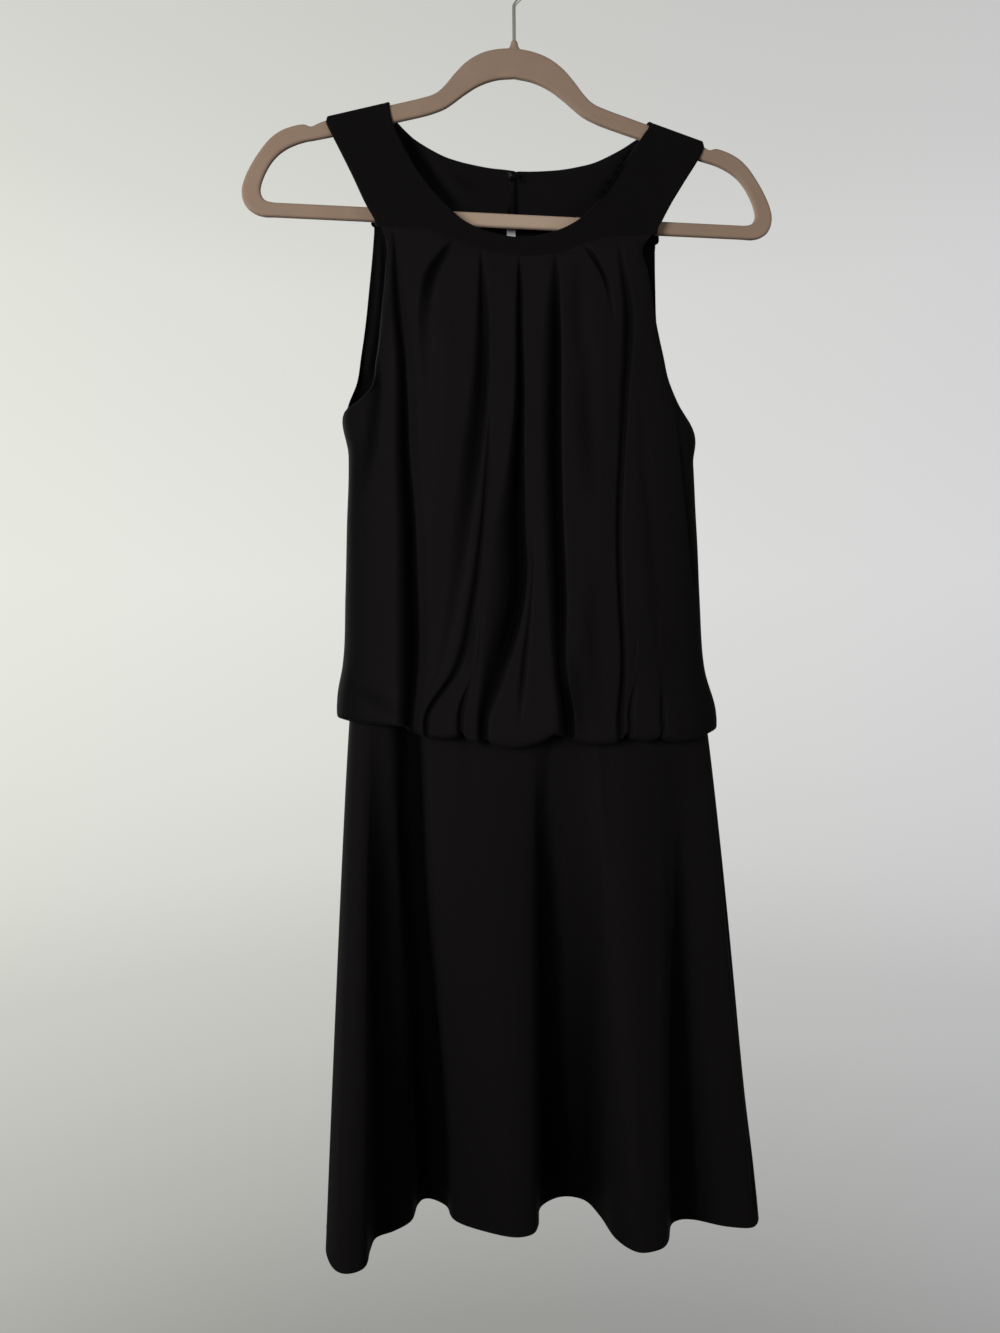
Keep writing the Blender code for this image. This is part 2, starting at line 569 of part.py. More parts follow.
def yoke_grid(rows, per_span, seam, seam_from, seam_to, columns=4):
    """Grid along the yoke; its outer edge keeps to the seam between the two corner rows."""
    dense = rounded([list(row) for row in rows], per_span)
    grid = np.empty((len(dense), columns, 3))
    for index, (neck_x, neck_y, neck_z, edge_x, edge_y, edge_z) in enumerate(dense):
        if seam_from * per_span <= index <= seam_to * per_span:
            edge_z = float(smooth([r.x for r in seam], [r.z for r in seam], edge_x))
        share = np.linspace(0, 1, columns)[:, None]
        neck, edge = np.array([neck_x, neck_y, neck_z]), np.array([edge_x, edge_y, edge_z])
        grid[index] = neck + (edge - neck) * share
    return grid.transpose(1, 0, 2)


def shoulder_normal(side):
    """Straight up from the arm's sloping top edge, the same for both edges of a shoulder seam."""
    normal = np.array([side * ARM_FALL, 0.0, 1.0])
    return normal / np.linalg.norm(normal)


SeamEdge = namedtuple("SeamEdge", "points normals")


def build_front_yoke(finish):
    """The front band and both straps; returns its lower seam for the bodice to hang from."""
    left = shoulder_rows(STRAP_BEND_FRONT, SHOULDER_X[-1])
    right = shoulder_rows(STRAP_BEND_FRONT, SHOULDER_X[1])[::-1]
    rows = left + FRONT_YOKE_ROWS + right
    first = len(left) + FRONT_CORNER_LEFT
    last = len(left) + FRONT_CORNER_RIGHT
    grid = yoke_grid(rows, YOKE_STEPS, FRONT_SEAM, first, last)
    normals = grid_normals(grid)
    normals[:, 0] = shoulder_normal(-1)
    normals[:, -1] = shoulder_normal(1)
    cloth("front_yoke", grid, YOKE_WALL, finish, normals)
    seam = slice(first * YOKE_STEPS, last * YOKE_STEPS + 1)
    return SeamEdge(grid[-1, seam], normals[-1, seam])


def build_back_yoke(name, side, table, finish):
    """Half of the back yoke, from the shoulder seam to the slit; returns its lower seam."""
    bend = shoulder_rows(STRAP_BEND_BACK, SHOULDER_X[side])
    rows = bend + table
    corner = len(bend) + BACK_CORNER
    grid = yoke_grid(rows, YOKE_STEPS, BACK_SEAM, corner, len(rows))
    share = np.linspace(0, 1, grid.shape[0])
    grid[:, -1, 0] = CENTRE_BACK_X + side * (SLIT_TOP + (SLIT_END - SLIT_TOP) * share)
    shoulder = 0
    if side < 0:
        grid = grid[:, ::-1]
        shoulder = -1
    normals = grid_normals(grid)
    normals[:, shoulder] = shoulder_normal(side)
    cloth(name, grid, YOKE_WALL, finish, normals)
    along_seam = np.arange(grid.shape[1]) >= corner * YOKE_STEPS
    if side < 0:
        along_seam = along_seam[::-1]
    return SeamEdge(grid[-1, along_seam], normals[-1, along_seam])


# Skirt


def skirt_ring(drop):
    """Closed section of the skirt, drop from 0 at the waist to 1 at the hem."""
    front = section_arc((WAIST_LEFT, 0), (WAIST_RIGHT, 0), WAIST_FRONT)
    back = section_arc((WAIST_RIGHT, 0), (WAIST_LEFT, 0), WAIST_BACK)
    lines = []
    for table, arc in ((FRONT_SKIRT_LINES, front), (BACK_SKIRT_LINES, back)):
        order = np.argsort(arc[:, 0])
        for line in table:
            waist_y = float(np.interp(line.waist_x, arc[order, 0], arc[order, 1]))
            x = line.waist_x + (line.hem_x - line.waist_x) * drop**FLARE_EASE
            y = waist_y + (line.hem_y - waist_y) * drop**FOLD_EASE
            lines.append((x, y, WAIST_Z + (line.hem_z - WAIST_Z) * drop))
    return rounded(lines, SKIRT_STEPS, closed=True)


def build_skirt(finish):
    """Both skirt panels; returns their uncut outer grids, which the blouson is tucked against."""
    rings = np.array([skirt_ring(drop) for drop in SKIRT_ROWS])
    around = rings.shape[1]
    right_seam = SKIRT_STEPS * len(FRONT_SKIRT_LINES)
    padded = np.concatenate([rings[:, -1:], rings, rings[:, :2]], axis=1)
    normals = grid_normals(padded)[:, 1:-1]
    rings = padded[:, 1:-1]
    outer = {}
    for name, (first, last) in {
        "front_skirt": (0, right_seam),
        "back_skirt": (right_seam, around),
    }.items():
        outer[name] = rings[:, first : last + 1]
        grid = outer[name].copy()
        for edge, beside in ((0, 1), (-1, -2)):
            inwards = grid[:, beside] - grid[:, edge]
            inwards /= np.linalg.norm(inwards, axis=1, keepdims=True)
            grid[:, edge] += inwards * SEAM_GAP / 2
        cloth(name, grid, SKIRT_WALL, finish, normals[:, first : last + 1])
    return outer


# Bodice


def spread(values, least):
    """Values in rising order with at least the given step between them, the last one kept."""
    values = np.array(values, float)
    for index in range(1, len(values)):
        values[index] = max(values[index], values[index - 1] + least)
    return values


def fold_columns(arc, height, folds, heading):
    """Places along an arc and inward depths for every column of the folds."""
    length = run_length(arc)
    order = np.argsort(arc[:, 0])
    knots = [-z for z in FOLD_HEIGHTS]
    places, depths = [], []
    for fold in folds:
        x = float(smooth(knots, fold.x, -height))
        depth = float(smooth(knots, fold.depth, -height))
        middle = float(np.interp(x, arc[order, 0], length[order]))
        opened = min(1.0, FOLD_CLOSED_SHARE + depth / FOLD_FULL_DEPTH)
        for offset, share in FOLD_SECTION:
            steep = offset * fold.steep_side * heading > 0
            places.append(middle + offset * (fold.sharp if steep else fold.soft) * opened)
            depths.append(depth * share)
    return np.array(places), np.array(depths), length


def row_columns(arc, fold_height, folds, heading, margins):
    """Places and depths of a whole row: the folds, and margin columns out to each end."""
    places, depths, length = fold_columns(arc, fold_height, folds, heading)
    lead = places[0] * np.linspace(0, 1, margins[0] + 1)[:-1] ** SIDE_CROWDING
    tail = np.linspace(1, 0, margins[1] + 1)[1:] ** SIDE_CROWDING
    tail = length[-1] - (length[-1] - places[-1]) * tail
    places = spread(np.concatenate([lead, places, tail]), LEAST_COLUMN)
    places *= length[-1] / places[-1]
    depths = np.concatenate([np.zeros(len(lead)), depths, np.zeros(len(tail))])
    return places, depths, length


def along(points, length, places):
    """Points of a polyline at the given distances along it."""
    return np.stack([np.interp(places, length, points[:, axis]) for axis in range(points.shape[1])], 1)


def outward_at(arc, length, places):
    """Unit normals in plan at the given distances along an arc."""
    tangent = along(np.gradient(arc, length, axis=0), length, places)
    tangent /= np.linalg.norm(tangent, axis=1, keepdims=True)
    return np.stack([tangent[:, 1], -tangent[:, 0]], axis=1)


def straight(x, ends_x, ends_z):
    """Height on the straight line between a row's two ends."""
    share = (x - ends_x[0]) / (ends_x[1] - ends_x[0])
    return ends_z[0] + (ends_z[1] - ends_z[0]) * share


def skirt_beneath(skirt, shares, heights):
    """Points on the skirt panel, LAP_GAP proud of it, at shares of its waist and given heights."""
    waist = run_length(skirt[0])
    columns = np.interp(shares, waist / waist[-1], np.arange(len(waist)))
    low = np.clip(columns.astype(int), 0, len(waist) - 2)
    part = (columns - low)[:, None]
    lines = skirt[:, low] * (1 - part) + skirt[:, low + 1] * part
    tangent = skirt[:, low + 1] - skirt[:, low]
    points = np.empty((len(shares), 2))
    for index, height in enumerate(heights):
        drops = -lines[:, index, 2]
        for axis in range(2):
            points[index, axis] = np.interp(-height, drops, lines[:, index, axis])
    side = tangent[0] / np.linalg.norm(tangent[0], axis=1, keepdims=True)
    return points + np.stack([side[:, 1], -side[:, 0]], axis=1) * LAP_GAP


def bodice_grid(body):
    """All rows of the front or of the whole back. body is a BodicePlan."""
    seam_x, seam_z = [r.x for r in body.seam_rows], [r.z for r in body.seam_rows]
    low_x, low_z = [r.x for r in body.low_rows], [r.z for r in body.low_rows]
    seam_ends = (seam_x[0], seam_x[-1]), (seam_z[0], seam_z[-1])
    low_ends = (low_x[0], low_x[-1]), (low_z[0], low_z[-1])
    heading = body.heading

    def from_start(left, right):
        return (left, right) if heading > 0 else (right, left)

    rows = []
    for row in body.rows:
        start, end = from_start((row.left_x, row.left_y), (row.right_x, row.right_y))
        arc = section_arc(start, end, row.crown_y)
        height = (row.left_z + row.right_z) / 2 - SEAM_DROOP * row.seam_share
        places, depths, length = row_columns(arc, height, body.folds, heading, body.margins)
        plan = along(arc, length, places) - outward_at(arc, length, places) * depths[:, None]
        x = plan[:, 0]
        line = straight(x, (row.left_x, row.right_x), (row.left_z, row.right_z))
        droop = smooth(seam_x, seam_z, x) - straight(x, *seam_ends)
        scallop = smooth(low_x, low_z, x) - straight(x, *low_ends)
        z = line + row.seam_share * droop + row.low_share * scallop
        rows.append(np.column_stack([plan, z]))

    start, end = from_start((BLOUSON_LEFT, 0), (BLOUSON_RIGHT, 0))
    arc = section_arc(start, end, body.widest_y)
    places, depths, length = row_columns(arc, FOLD_HEIGHTS[-1], body.folds, heading, body.margins)
    widest, outward = along(arc, length, places), outward_at(arc, length, places)
    lowest = smooth(low_x, low_z, widest[:, 0])
    for turn in TURN_ROWS:
        z = lowest + turn.rise
        z += (WAIST_Z - LAP_DEPTH - z) * turn.climb
        inside = skirt_beneath(body.skirt, places / length[-1], z)
        plan = widest + (inside - widest) * turn.inwards
        plan -= outward * (depths * turn.fold_share)[:, None]
        rows.append(np.column_stack([plan, z]))
    return np.array(rows)


def hang_from(grid, normals, seam):
    """Moves a bodice's first row onto the yoke's seam edge, one seam gap below all of it."""
    order = np.argsort(seam.points[:, 0])
    seam_x, seam_z = seam.points[order, 0], seam.points[order, 2]
    x = np.clip(grid[0, :, 0], seam_x[0], seam_x[-1])
    grid[0, :, 0] = x
    grid[0, :, 1] = np.interp(x, seam_x, seam.points[order, 1])
    for axis in range(3):
        normals[0, :, axis] = np.interp(x, seam_x, seam.normals[order, axis])
    columns = np.argsort(x)
    z = np.interp(x[columns], seam_x, seam_z) - YOKE_SEAM_GAP
    for corner_x, corner_z in zip(seam_x, seam_z):
        right = int(np.clip(np.searchsorted(x[columns], corner_x), 1, len(x) - 1))
        ends = slice(right - 1, right + 1)
        facet_z = np.interp(corner_x, x[columns][ends], z[ends])
        z[ends] -= max(0.0, facet_z - (corner_z - YOKE_SEAM_GAP))
    grid[0, columns, 2] = z


def square_side_seam(grid, normals, column, side, first_row, towards):
    """Moves a side edge half a seam gap off the seam, its wall square to the edge."""
    turned = len(grid) - len(TURN_ROWS)
    grid[first_row:, column, 1] += towards * SEAM_GAP / 2
    normals[first_row:turned, column] = (side, 0, 0)
    normals[turned:, column, 1] = 0
    normals[turned:, column] /= np.linalg.norm(normals[turned:, column], axis=1, keepdims=True)


BodicePlan = namedtuple(
    "BodicePlan", "rows seam_rows low_rows widest_y folds heading margins skirt"
)


def underarm_row(rows):
    return [row.name for row in rows].index("underarm")


def build_front_bodice(skirt, seam, finish):
    plan = BodicePlan(
        FRONT_ROWS,
        FRONT_SEAM,
        BLOUSON_LOW_FRONT,
        BLOUSON_FRONT,
        FRONT_FOLDS,
        1,
        FRONT_MARGINS,
        skirt,
    )
    grid = bodice_grid(plan)
    normals = grid_normals(grid)
    hang_from(grid, normals, seam)
    square_side_seam(grid, normals, 0, -1, underarm_row(FRONT_ROWS), -1)
    square_side_seam(grid, normals, -1, 1, underarm_row(FRONT_ROWS), -1)
    cloth("front_bodice", grid, BODICE_WALL, finish, normals)


def build_back_bodice(skirt, seams, finish):
    """The back in two halves, split at the centre-back seam."""
    plan = BodicePlan(
        BACK_ROWS,
        BACK_SEAM,
        BLOUSON_LOW_BACK,
        BLOUSON_BACK,
        BACK_FOLDS,
        -1,
        BACK_MARGINS,
        skirt,
    )
    grid = bodice_grid(plan)
    normals = grid_normals(grid)
    split = plan.margins[0] + len(BACK_FOLDS) // 2 * len(FOLD_SECTION)
    right, left = grid[:, split - 1 : split], grid[:, split : split + 1]
    fall = (grid[0, split, 2] - right[:, :, 2:]) / (grid[0, split, 2] - WAIST_Z)
    centre = CENTRE_BACK_X + (CENTRE_WAIST_X - CENTRE_BACK_X) * np.clip(fall, 0, 1)
    middle = right + (left - right) * (right[:, :, :1] - centre) / (right - left)[:, :, :1]
    middle_normals = normals[:, split : split + 1].copy()
    middle_normals[:, :, 0] = 0
    middle_normals /= np.linalg.norm(middle_normals, axis=2, keepdims=True)
    halves = {
        "back_bodice_right": (slice(0, split), 1),
        "back_bodice_left": (slice(split, grid.shape[1]), -1),
    }
    for name, (columns, side) in halves.items():
        half = np.concatenate([grid[:, columns], middle][::side], axis=1)
        half_normals = np.concatenate([normals[:, columns], middle_normals][::side], axis=1)
        seam_column, side_column = (-1, 0) if side > 0 else (0, -1)
        half[:, seam_column, 0] += side * SEAM_GAP / 2
        hang_from(half, half_normals, seams[name])
        square_side_seam(half, half_normals, side_column, side, underarm_row(BACK_ROWS), 1)
        cloth(name, half, BODICE_WALL, finish, half_normals)


# Notions


def notion_path(rings, run):
    """Path of a hook's or an eye's wire: low ring, run and high ring."""
    across, apart = rings
    heading = 1 if across < 0 else -1
    cloth_y = CENTRE_NECK_Y - YOKE_WALL + (CENTRE_NECK_Z - HOOK_EYE_Z) * CENTRE_LEAN
    low, high = [], []
    for angle in np.radians(RING_ANGLES):
        x = CENTRE_BACK_X + across + heading * RING_RADIUS * math.cos(angle)
        rise = apart - RING_RADIUS * math.sin(angle)
        low.append((x, cloth_y - RING_INWARDS, HOOK_EYE_Z - rise))
        high.append((x, cloth_y - RING_INWARDS, HOOK_EYE_Z + rise))
    middle = []
    for point in run:
        y = cloth_y - point.inwards
        middle.append((CENTRE_BACK_X + point.across, y, HOOK_EYE_Z + point.up))
    return low + middle + high[::-1]


def build_hook_and_eye(finish):
    """A wire hook and eye that hold the neck edges of the slit together."""
    wire("neck_hook", notion_path(HOOK_RINGS, HOOK_RUN), NOTION_WIRE, 6, finish)
    wire("neck_eye", notion_path(EYE_RINGS, EYE_RUN), NOTION_WIRE, 6, finish)


def build_size_tab(finish):
    """A bare woven tab that hangs inside the back, from the yoke seam."""
    heights = np.linspace(TAB.top_z, TAB.low_z, 4)
    across = np.linspace(TAB.right, TAB.left, 3)
    grid = np.empty((len(heights), len(across), 3))
    for row, z in enumerate(heights):
        y = TAB.top_y - TAB.lean * (TAB.top_z - z)
        for column, x in enumerate(across):
            grid[row, column] = (x, y, z)
    cloth("size_tab", grid, TAB.wall, finish)


def main():
    for old in list(bpy.data.objects):
        bpy.data.objects.remove(old, do_unlink=True)
    jersey = material("black_jersey", (0.009, 0.0085, 0.009), 0.72)
    flock = material("taupe_flock", (0.30, 0.205, 0.17), 0.9)
    steel = material("steel_wire", (0.62, 0.6, 0.58), 0.3, 1.0)
    tab = material("white_tab", (0.62, 0.62, 0.6), 0.85)
    build_hanger_frame(flock)
    build_hanger_hook(steel)
    front_seam = build_front_yoke(jersey)
    back_seams = {
        "back_bodice_left": build_back_yoke("back_yoke_left", -1, BACK_YOKE_LEFT_ROWS, jersey),
        "back_bodice_right": build_back_yoke("back_yoke_right", 1, BACK_YOKE_RIGHT_ROWS, jersey),
    }
    skirt = build_skirt(jersey)
    build_front_bodice(skirt["front_skirt"], front_seam, jersey)
    build_back_bodice(skirt["back_skirt"], back_seams, jersey)
    build_hook_and_eye(steel)
    build_size_tab(tab)


main()
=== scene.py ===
"""Blouson cocktail dress on a slim flocked hanger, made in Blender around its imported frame.

Tables are in millimetres; meshes are made in metres. The origin is the inner seat of the
hanger's hook, +X is the wearer's left, +Y the back of the dress and +Z up. What is called left
here lies on the -X side, on the left of somebody who looks at the front.
"""

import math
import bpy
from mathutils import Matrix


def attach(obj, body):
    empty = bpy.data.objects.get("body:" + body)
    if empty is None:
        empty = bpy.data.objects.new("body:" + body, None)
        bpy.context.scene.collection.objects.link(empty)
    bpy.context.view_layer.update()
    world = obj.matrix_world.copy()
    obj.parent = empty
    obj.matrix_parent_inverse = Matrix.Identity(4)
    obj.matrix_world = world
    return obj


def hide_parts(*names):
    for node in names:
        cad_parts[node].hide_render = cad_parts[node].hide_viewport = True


bl_info = {
    "name": "Cocktail dress on a hanger",
    "version": (1, 0, 0),
    "blender": (4, 5, 0),
    "location": "3D View > Sidebar > Dress",
    "description": "Makes a blouson cocktail dress on its hanger, piece by piece",
    "category": "Add Mesh",
}

from collections import namedtuple

import bpy
import numpy as np
from mathutils import Matrix

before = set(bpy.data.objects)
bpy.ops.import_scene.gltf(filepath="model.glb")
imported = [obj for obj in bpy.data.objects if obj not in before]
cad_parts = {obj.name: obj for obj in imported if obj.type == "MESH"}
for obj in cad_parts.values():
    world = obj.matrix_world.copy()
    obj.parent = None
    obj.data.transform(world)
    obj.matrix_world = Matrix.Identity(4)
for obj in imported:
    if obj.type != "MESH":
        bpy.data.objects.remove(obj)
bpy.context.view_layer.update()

MM = 0.001
BODY = "root"
SIDES = {-1: "left", 1: "right"}

# Cloth
YOKE_WALL = 2.0  # two layers of jersey
BODICE_WALL = 1.0
SKIRT_WALL = 1.0
RIM_BULGE = 0.5  # how far a cloth's rim bulges out, as a share of its wall
SEAM_GAP = 0.3
LAP_GAP = 0.8  # bodice turned under, against the skirt's top edge
LAP_DEPTH = 1.5  # its edge lies this far below the skirt's top edge
DARK_INSIDE = 0.35  # least shade of the cloth's inner face
SECTION_FULLNESS = 2.35  # 2 is an ellipse, more is boxier
SECTION_POINTS = 481
WAIST_Z = -626.0  # the hem's heights are in the skirt's lines
CENTRE_BACK_X = 2.5
CENTRE_WAIST_X = 8.6  # the dress drifts a little towards +X on its way down


# Curves


def smooth(knots, values, at, keep_shape=True):
    """Cubic through the knots. values may be numbers or whole rows of points."""
    knots, values, at = (np.asarray(part, float) for part in (knots, values, at))
    extra = (1,) * (values.ndim - 1)
    step = np.diff(knots).reshape((-1,) + extra)
    rate = np.diff(values, axis=0) / step
    slope = np.empty_like(values)
    slope[0], slope[-1] = rate[0], rate[-1]
    if keep_shape:
        product = rate[:-1] * rate[1:]
        total = np.where(product > 0, rate[:-1] + rate[1:], 1.0)
        slope[1:-1] = np.where(product > 0, 2 * product / total, 0.0)
    else:
        slope[1:-1] = (rate[:-1] * step[1:] + rate[1:] * step[:-1]) / (step[:-1] + step[1:])
    at = np.clip(at, knots[0], knots[-1])
    cell = np.clip(np.searchsorted(knots, at, side="right") - 1, 0, len(knots) - 2)
    t = ((at - knots[cell]) / np.diff(knots)[cell]).reshape(at.shape + extra)
    low, high = values[cell], values[cell + 1]
    low_slope, high_slope = slope[cell] * step[cell], slope[cell + 1] * step[cell]
    cubic, square = t**3, t**2
    return (
        (2 * cubic - 3 * square + 1) * low
        + (cubic - 2 * square + t) * low_slope
        + (3 * square - 2 * cubic) * high
        + (cubic - square) * high_slope
    )


def rounded(points, per_span, closed=False):
    """Catmull-Rom curve through points or rows of points, per_span samples to each span."""
    points = np.asarray(points, float)
    if closed:
        ring = np.concatenate([points[-1:], points, points[:2]])
    else:
        ring = np.concatenate([2 * points[:1] - points[1:2], points, 2 * points[-1:] - points[-2:-1]])
    before, start, end, after = (part[:, None] for part in (ring[:-3], ring[1:-2], ring[2:-1], ring[3:]))
    t = (np.arange(per_span) / per_span).reshape(1, -1, *(1,) * (points.ndim - 1))
    curve = 0.5 * (
        2 * start
        + (end - before) * t
        + (2 * before - 5 * start + 4 * end - after) * t**2
        + (3 * start - before - 3 * end + after) * t**3
    )
    curve = curve.reshape(-1, *points.shape[1:])
    return curve if closed else np.concatenate([curve, points[-1:]])


def full_turn(count):
    """Angles of that many even steps round a circle."""
    return np.arange(count) / count * 2 * math.pi


def run_length(points):
    """Distance along a polyline at each of its points."""
    return np.concatenate([[0.0], np.cumsum(np.linalg.norm(np.diff(points, axis=0), axis=1))])


def section_arc(start, end, crown_y):
    """Half section of the garment, from one side (x, y) to the other, rounded out to crown_y."""
    angle = np.linspace(0.0, math.pi, SECTION_POINTS)
    across = np.sign(np.cos(angle)) * np.abs(np.cos(angle)) ** (2 / SECTION_FULLNESS)
    out = np.sin(angle) ** (2 / SECTION_FULLNESS)
    share = (1 - across) / 2
    x = start[0] + (end[0] - start[0]) * share
    y = start[1] + (end[1] - start[1]) * share + (crown_y - (start[1] + end[1]) / 2) * out
    return np.stack([x, y], axis=1)


def along(points, length, places):
    """Points of a polyline at the given distances along it."""
    return np.stack([np.interp(places, length, points[:, axis]) for axis in range(points.shape[1])], 1)


def outward_at(arc, length, places):
    """Unit normals in plan at the given distances along an arc."""
    tangent = unit(along(np.gradient(arc, length, axis=0), length, places))
    return np.stack([tangent[:, 1], -tangent[:, 0]], axis=1)


def straight(x, ends_x, ends_z):
    """Height on the straight line between a row's two ends."""
    share = (x - ends_x[0]) / (ends_x[1] - ends_x[0])
    return ends_z[0] + (ends_z[1] - ends_z[0]) * share


def sag(line, x):
    """Height of a line of x and z, over the straight line between its ends."""
    line_x, line_z = np.transpose(line)
    return smooth(line_x, line_z, x) - straight(x, line_x[[0, -1]], line_z[[0, -1]])


def refine(grid, pitches):
    """More rows down a grid; pitches says how far apart they are in each of its spans."""
    chord = np.linalg.norm(np.diff(grid[:, :, :3], axis=0), axis=2).mean(axis=1)
    knots = np.concatenate([[0.0], np.cumsum(chord)])
    at = []
    for start, length, pitch in zip(knots, chord, pitches):
        count = max(1, round(length / pitch))
        at.extend(start + length * np.arange(count) / count)
    at.append(knots[-1])
    return smooth(knots, grid, at, keep_shape=False)


# Meshes


def unit(vectors):
    return vectors / np.linalg.norm(vectors, axis=-1, keepdims=True)


def grid_normals(grid):
    """Outward unit normals of a grid whose rows run down and columns anticlockwise from above."""
    grid = grid[:, :, :3]
    return unit(np.cross(np.gradient(grid, axis=0), np.gradient(grid, axis=1)))


def cloth_uv(grid, top_z):
    """Distances along the cloth from its middle column and from top_z or its top edge, in metres."""
    points = grid[:, :, :3]
    across, down = np.zeros((2, *points.shape[:2]))
    across[:, 1:] = np.cumsum(np.linalg.norm(np.diff(points, axis=1), axis=2), axis=1)
    across -= across[:, [across.shape[1] // 2]]
    down[1:] = np.cumsum(np.linalg.norm(np.diff(points, axis=0), axis=2), axis=0)
    if top_z is not None:
        down += top_z - points[0, :, 2]
    return np.stack([across, -down], axis=2) * MM


def link(name, mesh):
    piece = bpy.data.objects.new(name, mesh)
    bpy.context.scene.collection.objects.link(piece)
    return piece


def give_shade(mesh, shade):
    """Stores each point's painted shade, from 0 to 1, where the finishes read it; on the hanger's bar and
    the hook it is a painted highlight.
    """
    layer = mesh.attributes.new("shade", "FLOAT", "POINT")
    layer.data.foreach_set("value", np.clip(shade, 0, 1).astype(np.float32))


def add_mesh(name, points, faces, finish, uv=None):
    """A smooth object from points in millimetres, with its cloth coordinates."""
    mesh = bpy.data.meshes.new(name)
    mesh.from_pydata((np.asarray(points) * MM).tolist(), [], faces)
    mesh.validate()
    mesh.shade_smooth()
    if uv is not None:
        corners = np.empty(len(mesh.loops), dtype=np.int32)
        mesh.loops.foreach_get("vertex_index", corners)
        layer = mesh.uv_layers.new(name="cloth")
        layer.data.foreach_set("uv", uv[corners].astype(np.float32).ravel())
    mesh.materials.append(bpy.data.materials[finish])
    return link(name, mesh)


def band_faces(rings):
    """Faces between closed rings of point numbers, which are the rows of an array."""
    beside = np.roll(rings, -1, axis=1)
    return np.stack([rings[:-1], beside[:-1], beside[1:], rings[1:]], axis=2).reshape(-1, 4).tolist()


def cloth_shell(name, grid, wall, finish, top_z, inside_shade=0.0):
    """Closed wall of cloth with a rounded rim: the grid is its outer face, with its shade."""
    outer = grid[:, :, :3]
    inner = outer - grid_normals(grid) * wall
    bulge = np.zeros_like(outer)
    bulge[0] += unit(outer[0] - outer[1])
    bulge[-1] += unit(outer[-1] - outer[-2])
    bulge[:, 0] += unit(outer[:, 0] - outer[:, 1])
    bulge[:, -1] += unit(outer[:, -1] - outer[:, -2])
    rim = (outer + inner) / 2 + bulge * wall * RIM_BULGE
    index = np.arange(outer.shape[0] * outer.shape[1]).reshape(outer.shape[:2])
    border = np.concatenate([index[0], index[1:, -1], index[-1, -2::-1], index[-2:0:-1, 0]])
    quads = np.stack([index[:-1, :-1], index[1:, :-1], index[1:, 1:], index[:-1, 1:]], axis=2)
    quads = quads.reshape(-1, 4)
    faces = quads.tolist() + (quads[:, ::-1] + index.size).tolist()
    faces += band_faces(np.stack([border, np.arange(len(border)) + 2 * index.size, border + index.size]))
    points = np.concatenate([outer.reshape(-1, 3), inner.reshape(-1, 3), rim.reshape(-1, 3)[border]])
    uv = cloth_uv(grid, top_z).reshape(-1, 2)
    piece = add_mesh(name, points, faces, finish, np.concatenate([uv, uv, uv[border]]))
    shade = grid[:, :, 3].ravel()
    give_shade(piece.data, np.concatenate([shade, np.maximum(shade, inside_shade), shade[border]]))
    return piece


def tube(name, path, radii, sides, finish):
    """Closed round tube along a path, with its own radius at each point."""
    path = np.asarray(path, float)
    tangent = unit(np.gradient(path, axis=0))
    side = np.cross(tangent[0], (0.0, 1.0, 0.0))
    angles = full_turn(sides)[:, None]
    points = []
    for place, heading, radius in zip(path, tangent, np.broadcast_to(radii, len(path))):
        side = unit(side - heading * np.dot(side, heading))
        ring = np.cos(angles) * side + np.sin(angles) * np.cross(heading, side)
        points.append(place + ring * radius)
    rings = np.arange(len(path) * sides).reshape(-1, sides)
    faces = band_faces(rings)
    for ring, tip in ((rings[0, ::-1], rings.size), (rings[-1], rings.size + 1)):
        faces += [[tip, here, there] for here, there in zip(ring.tolist(), np.roll(ring, -1).tolist())]
    return add_mesh(name, np.concatenate(points + [path[:1], path[-1:]]), faces, finish)


# Hanger

HOOK_WIRE = 1.5  # radius of the wire
HOOK_SIDES = 20
HOOK_INNER = 20.0  # inner radius of the hook
HOOK_STEM = (-86.0, -83.7, -74.0, -64.0, -54.0)  # heights
HOOK_NECK = [(0.0, -54.0), (0.6, -47.5), (6.5, -41.0), (14.5, -36.3)]  # x and z
HOOK_NECK_STEPS = 6
HOOK_ARC = range(-48, 206, 4)  # degrees, anticlockwise from +X
HOOK_TIP = (-1.5, -4.5)  # x and z of the straight end of the wire, past the arc
HOOK_END = [(0.45, 1.0), (0.8, 0.97), (0.93, 0.8), (1.0, 0.45)]  # shares of the tip and of the radius
ARM_TOP_X, ARM_TOP_Z, ARM_FALL = 78.0, -130.6, 0.2957  # the arm's straight top edge

# half outline, from the top of its hump round to the middle of the bar: outer x and z, inner x and z
HANGER_ROWS = [
    (0, -84, 0, -108.8), (15, -86, 15, -111), (28, -90.2, 29, -116.5), (40, -98, 41, -124.5),
    (50, -108.5, 51, -132.5), (58, -118.5, 58, -137.5), (66, -125.8, 66, -141.3), (78, -130.6, 77, -145.2),
    (107, -139.2, 105, -153.2), (148, -151.3, 145, -164.6), (160, -155.8, 157, -167.8),
    (167, -159.2, 164.5, -169.7), (173.5, -157.9, 171.5, -171.4), (184, -160.7, 179, -174.2),
    (193.5, -165.6, 186, -177.9), (201.5, -172.8, 192.5, -182.9), (209, -183, 198.5, -190),
    (215.5, -194, 203.5, -199), (220, -204, 206.5, -207), (222.3, -214, 207.5, -213.5),
    (220.5, -223.5, 205.8, -218.6), (215, -230, 202.5, -221.2), (206, -233.5, 197, -222.2),
    (192, -233.6, 190, -222.2), (150, -233.6, 150, -222.2), (75, -233.6, 75, -222.2),
    (0, -233.6, 0, -222.2),
]
HANGER_STEPS = 6
HANGER_FACE_Y = 2.62
HANGER_FACE = (0.36, 0.5, 0.64)
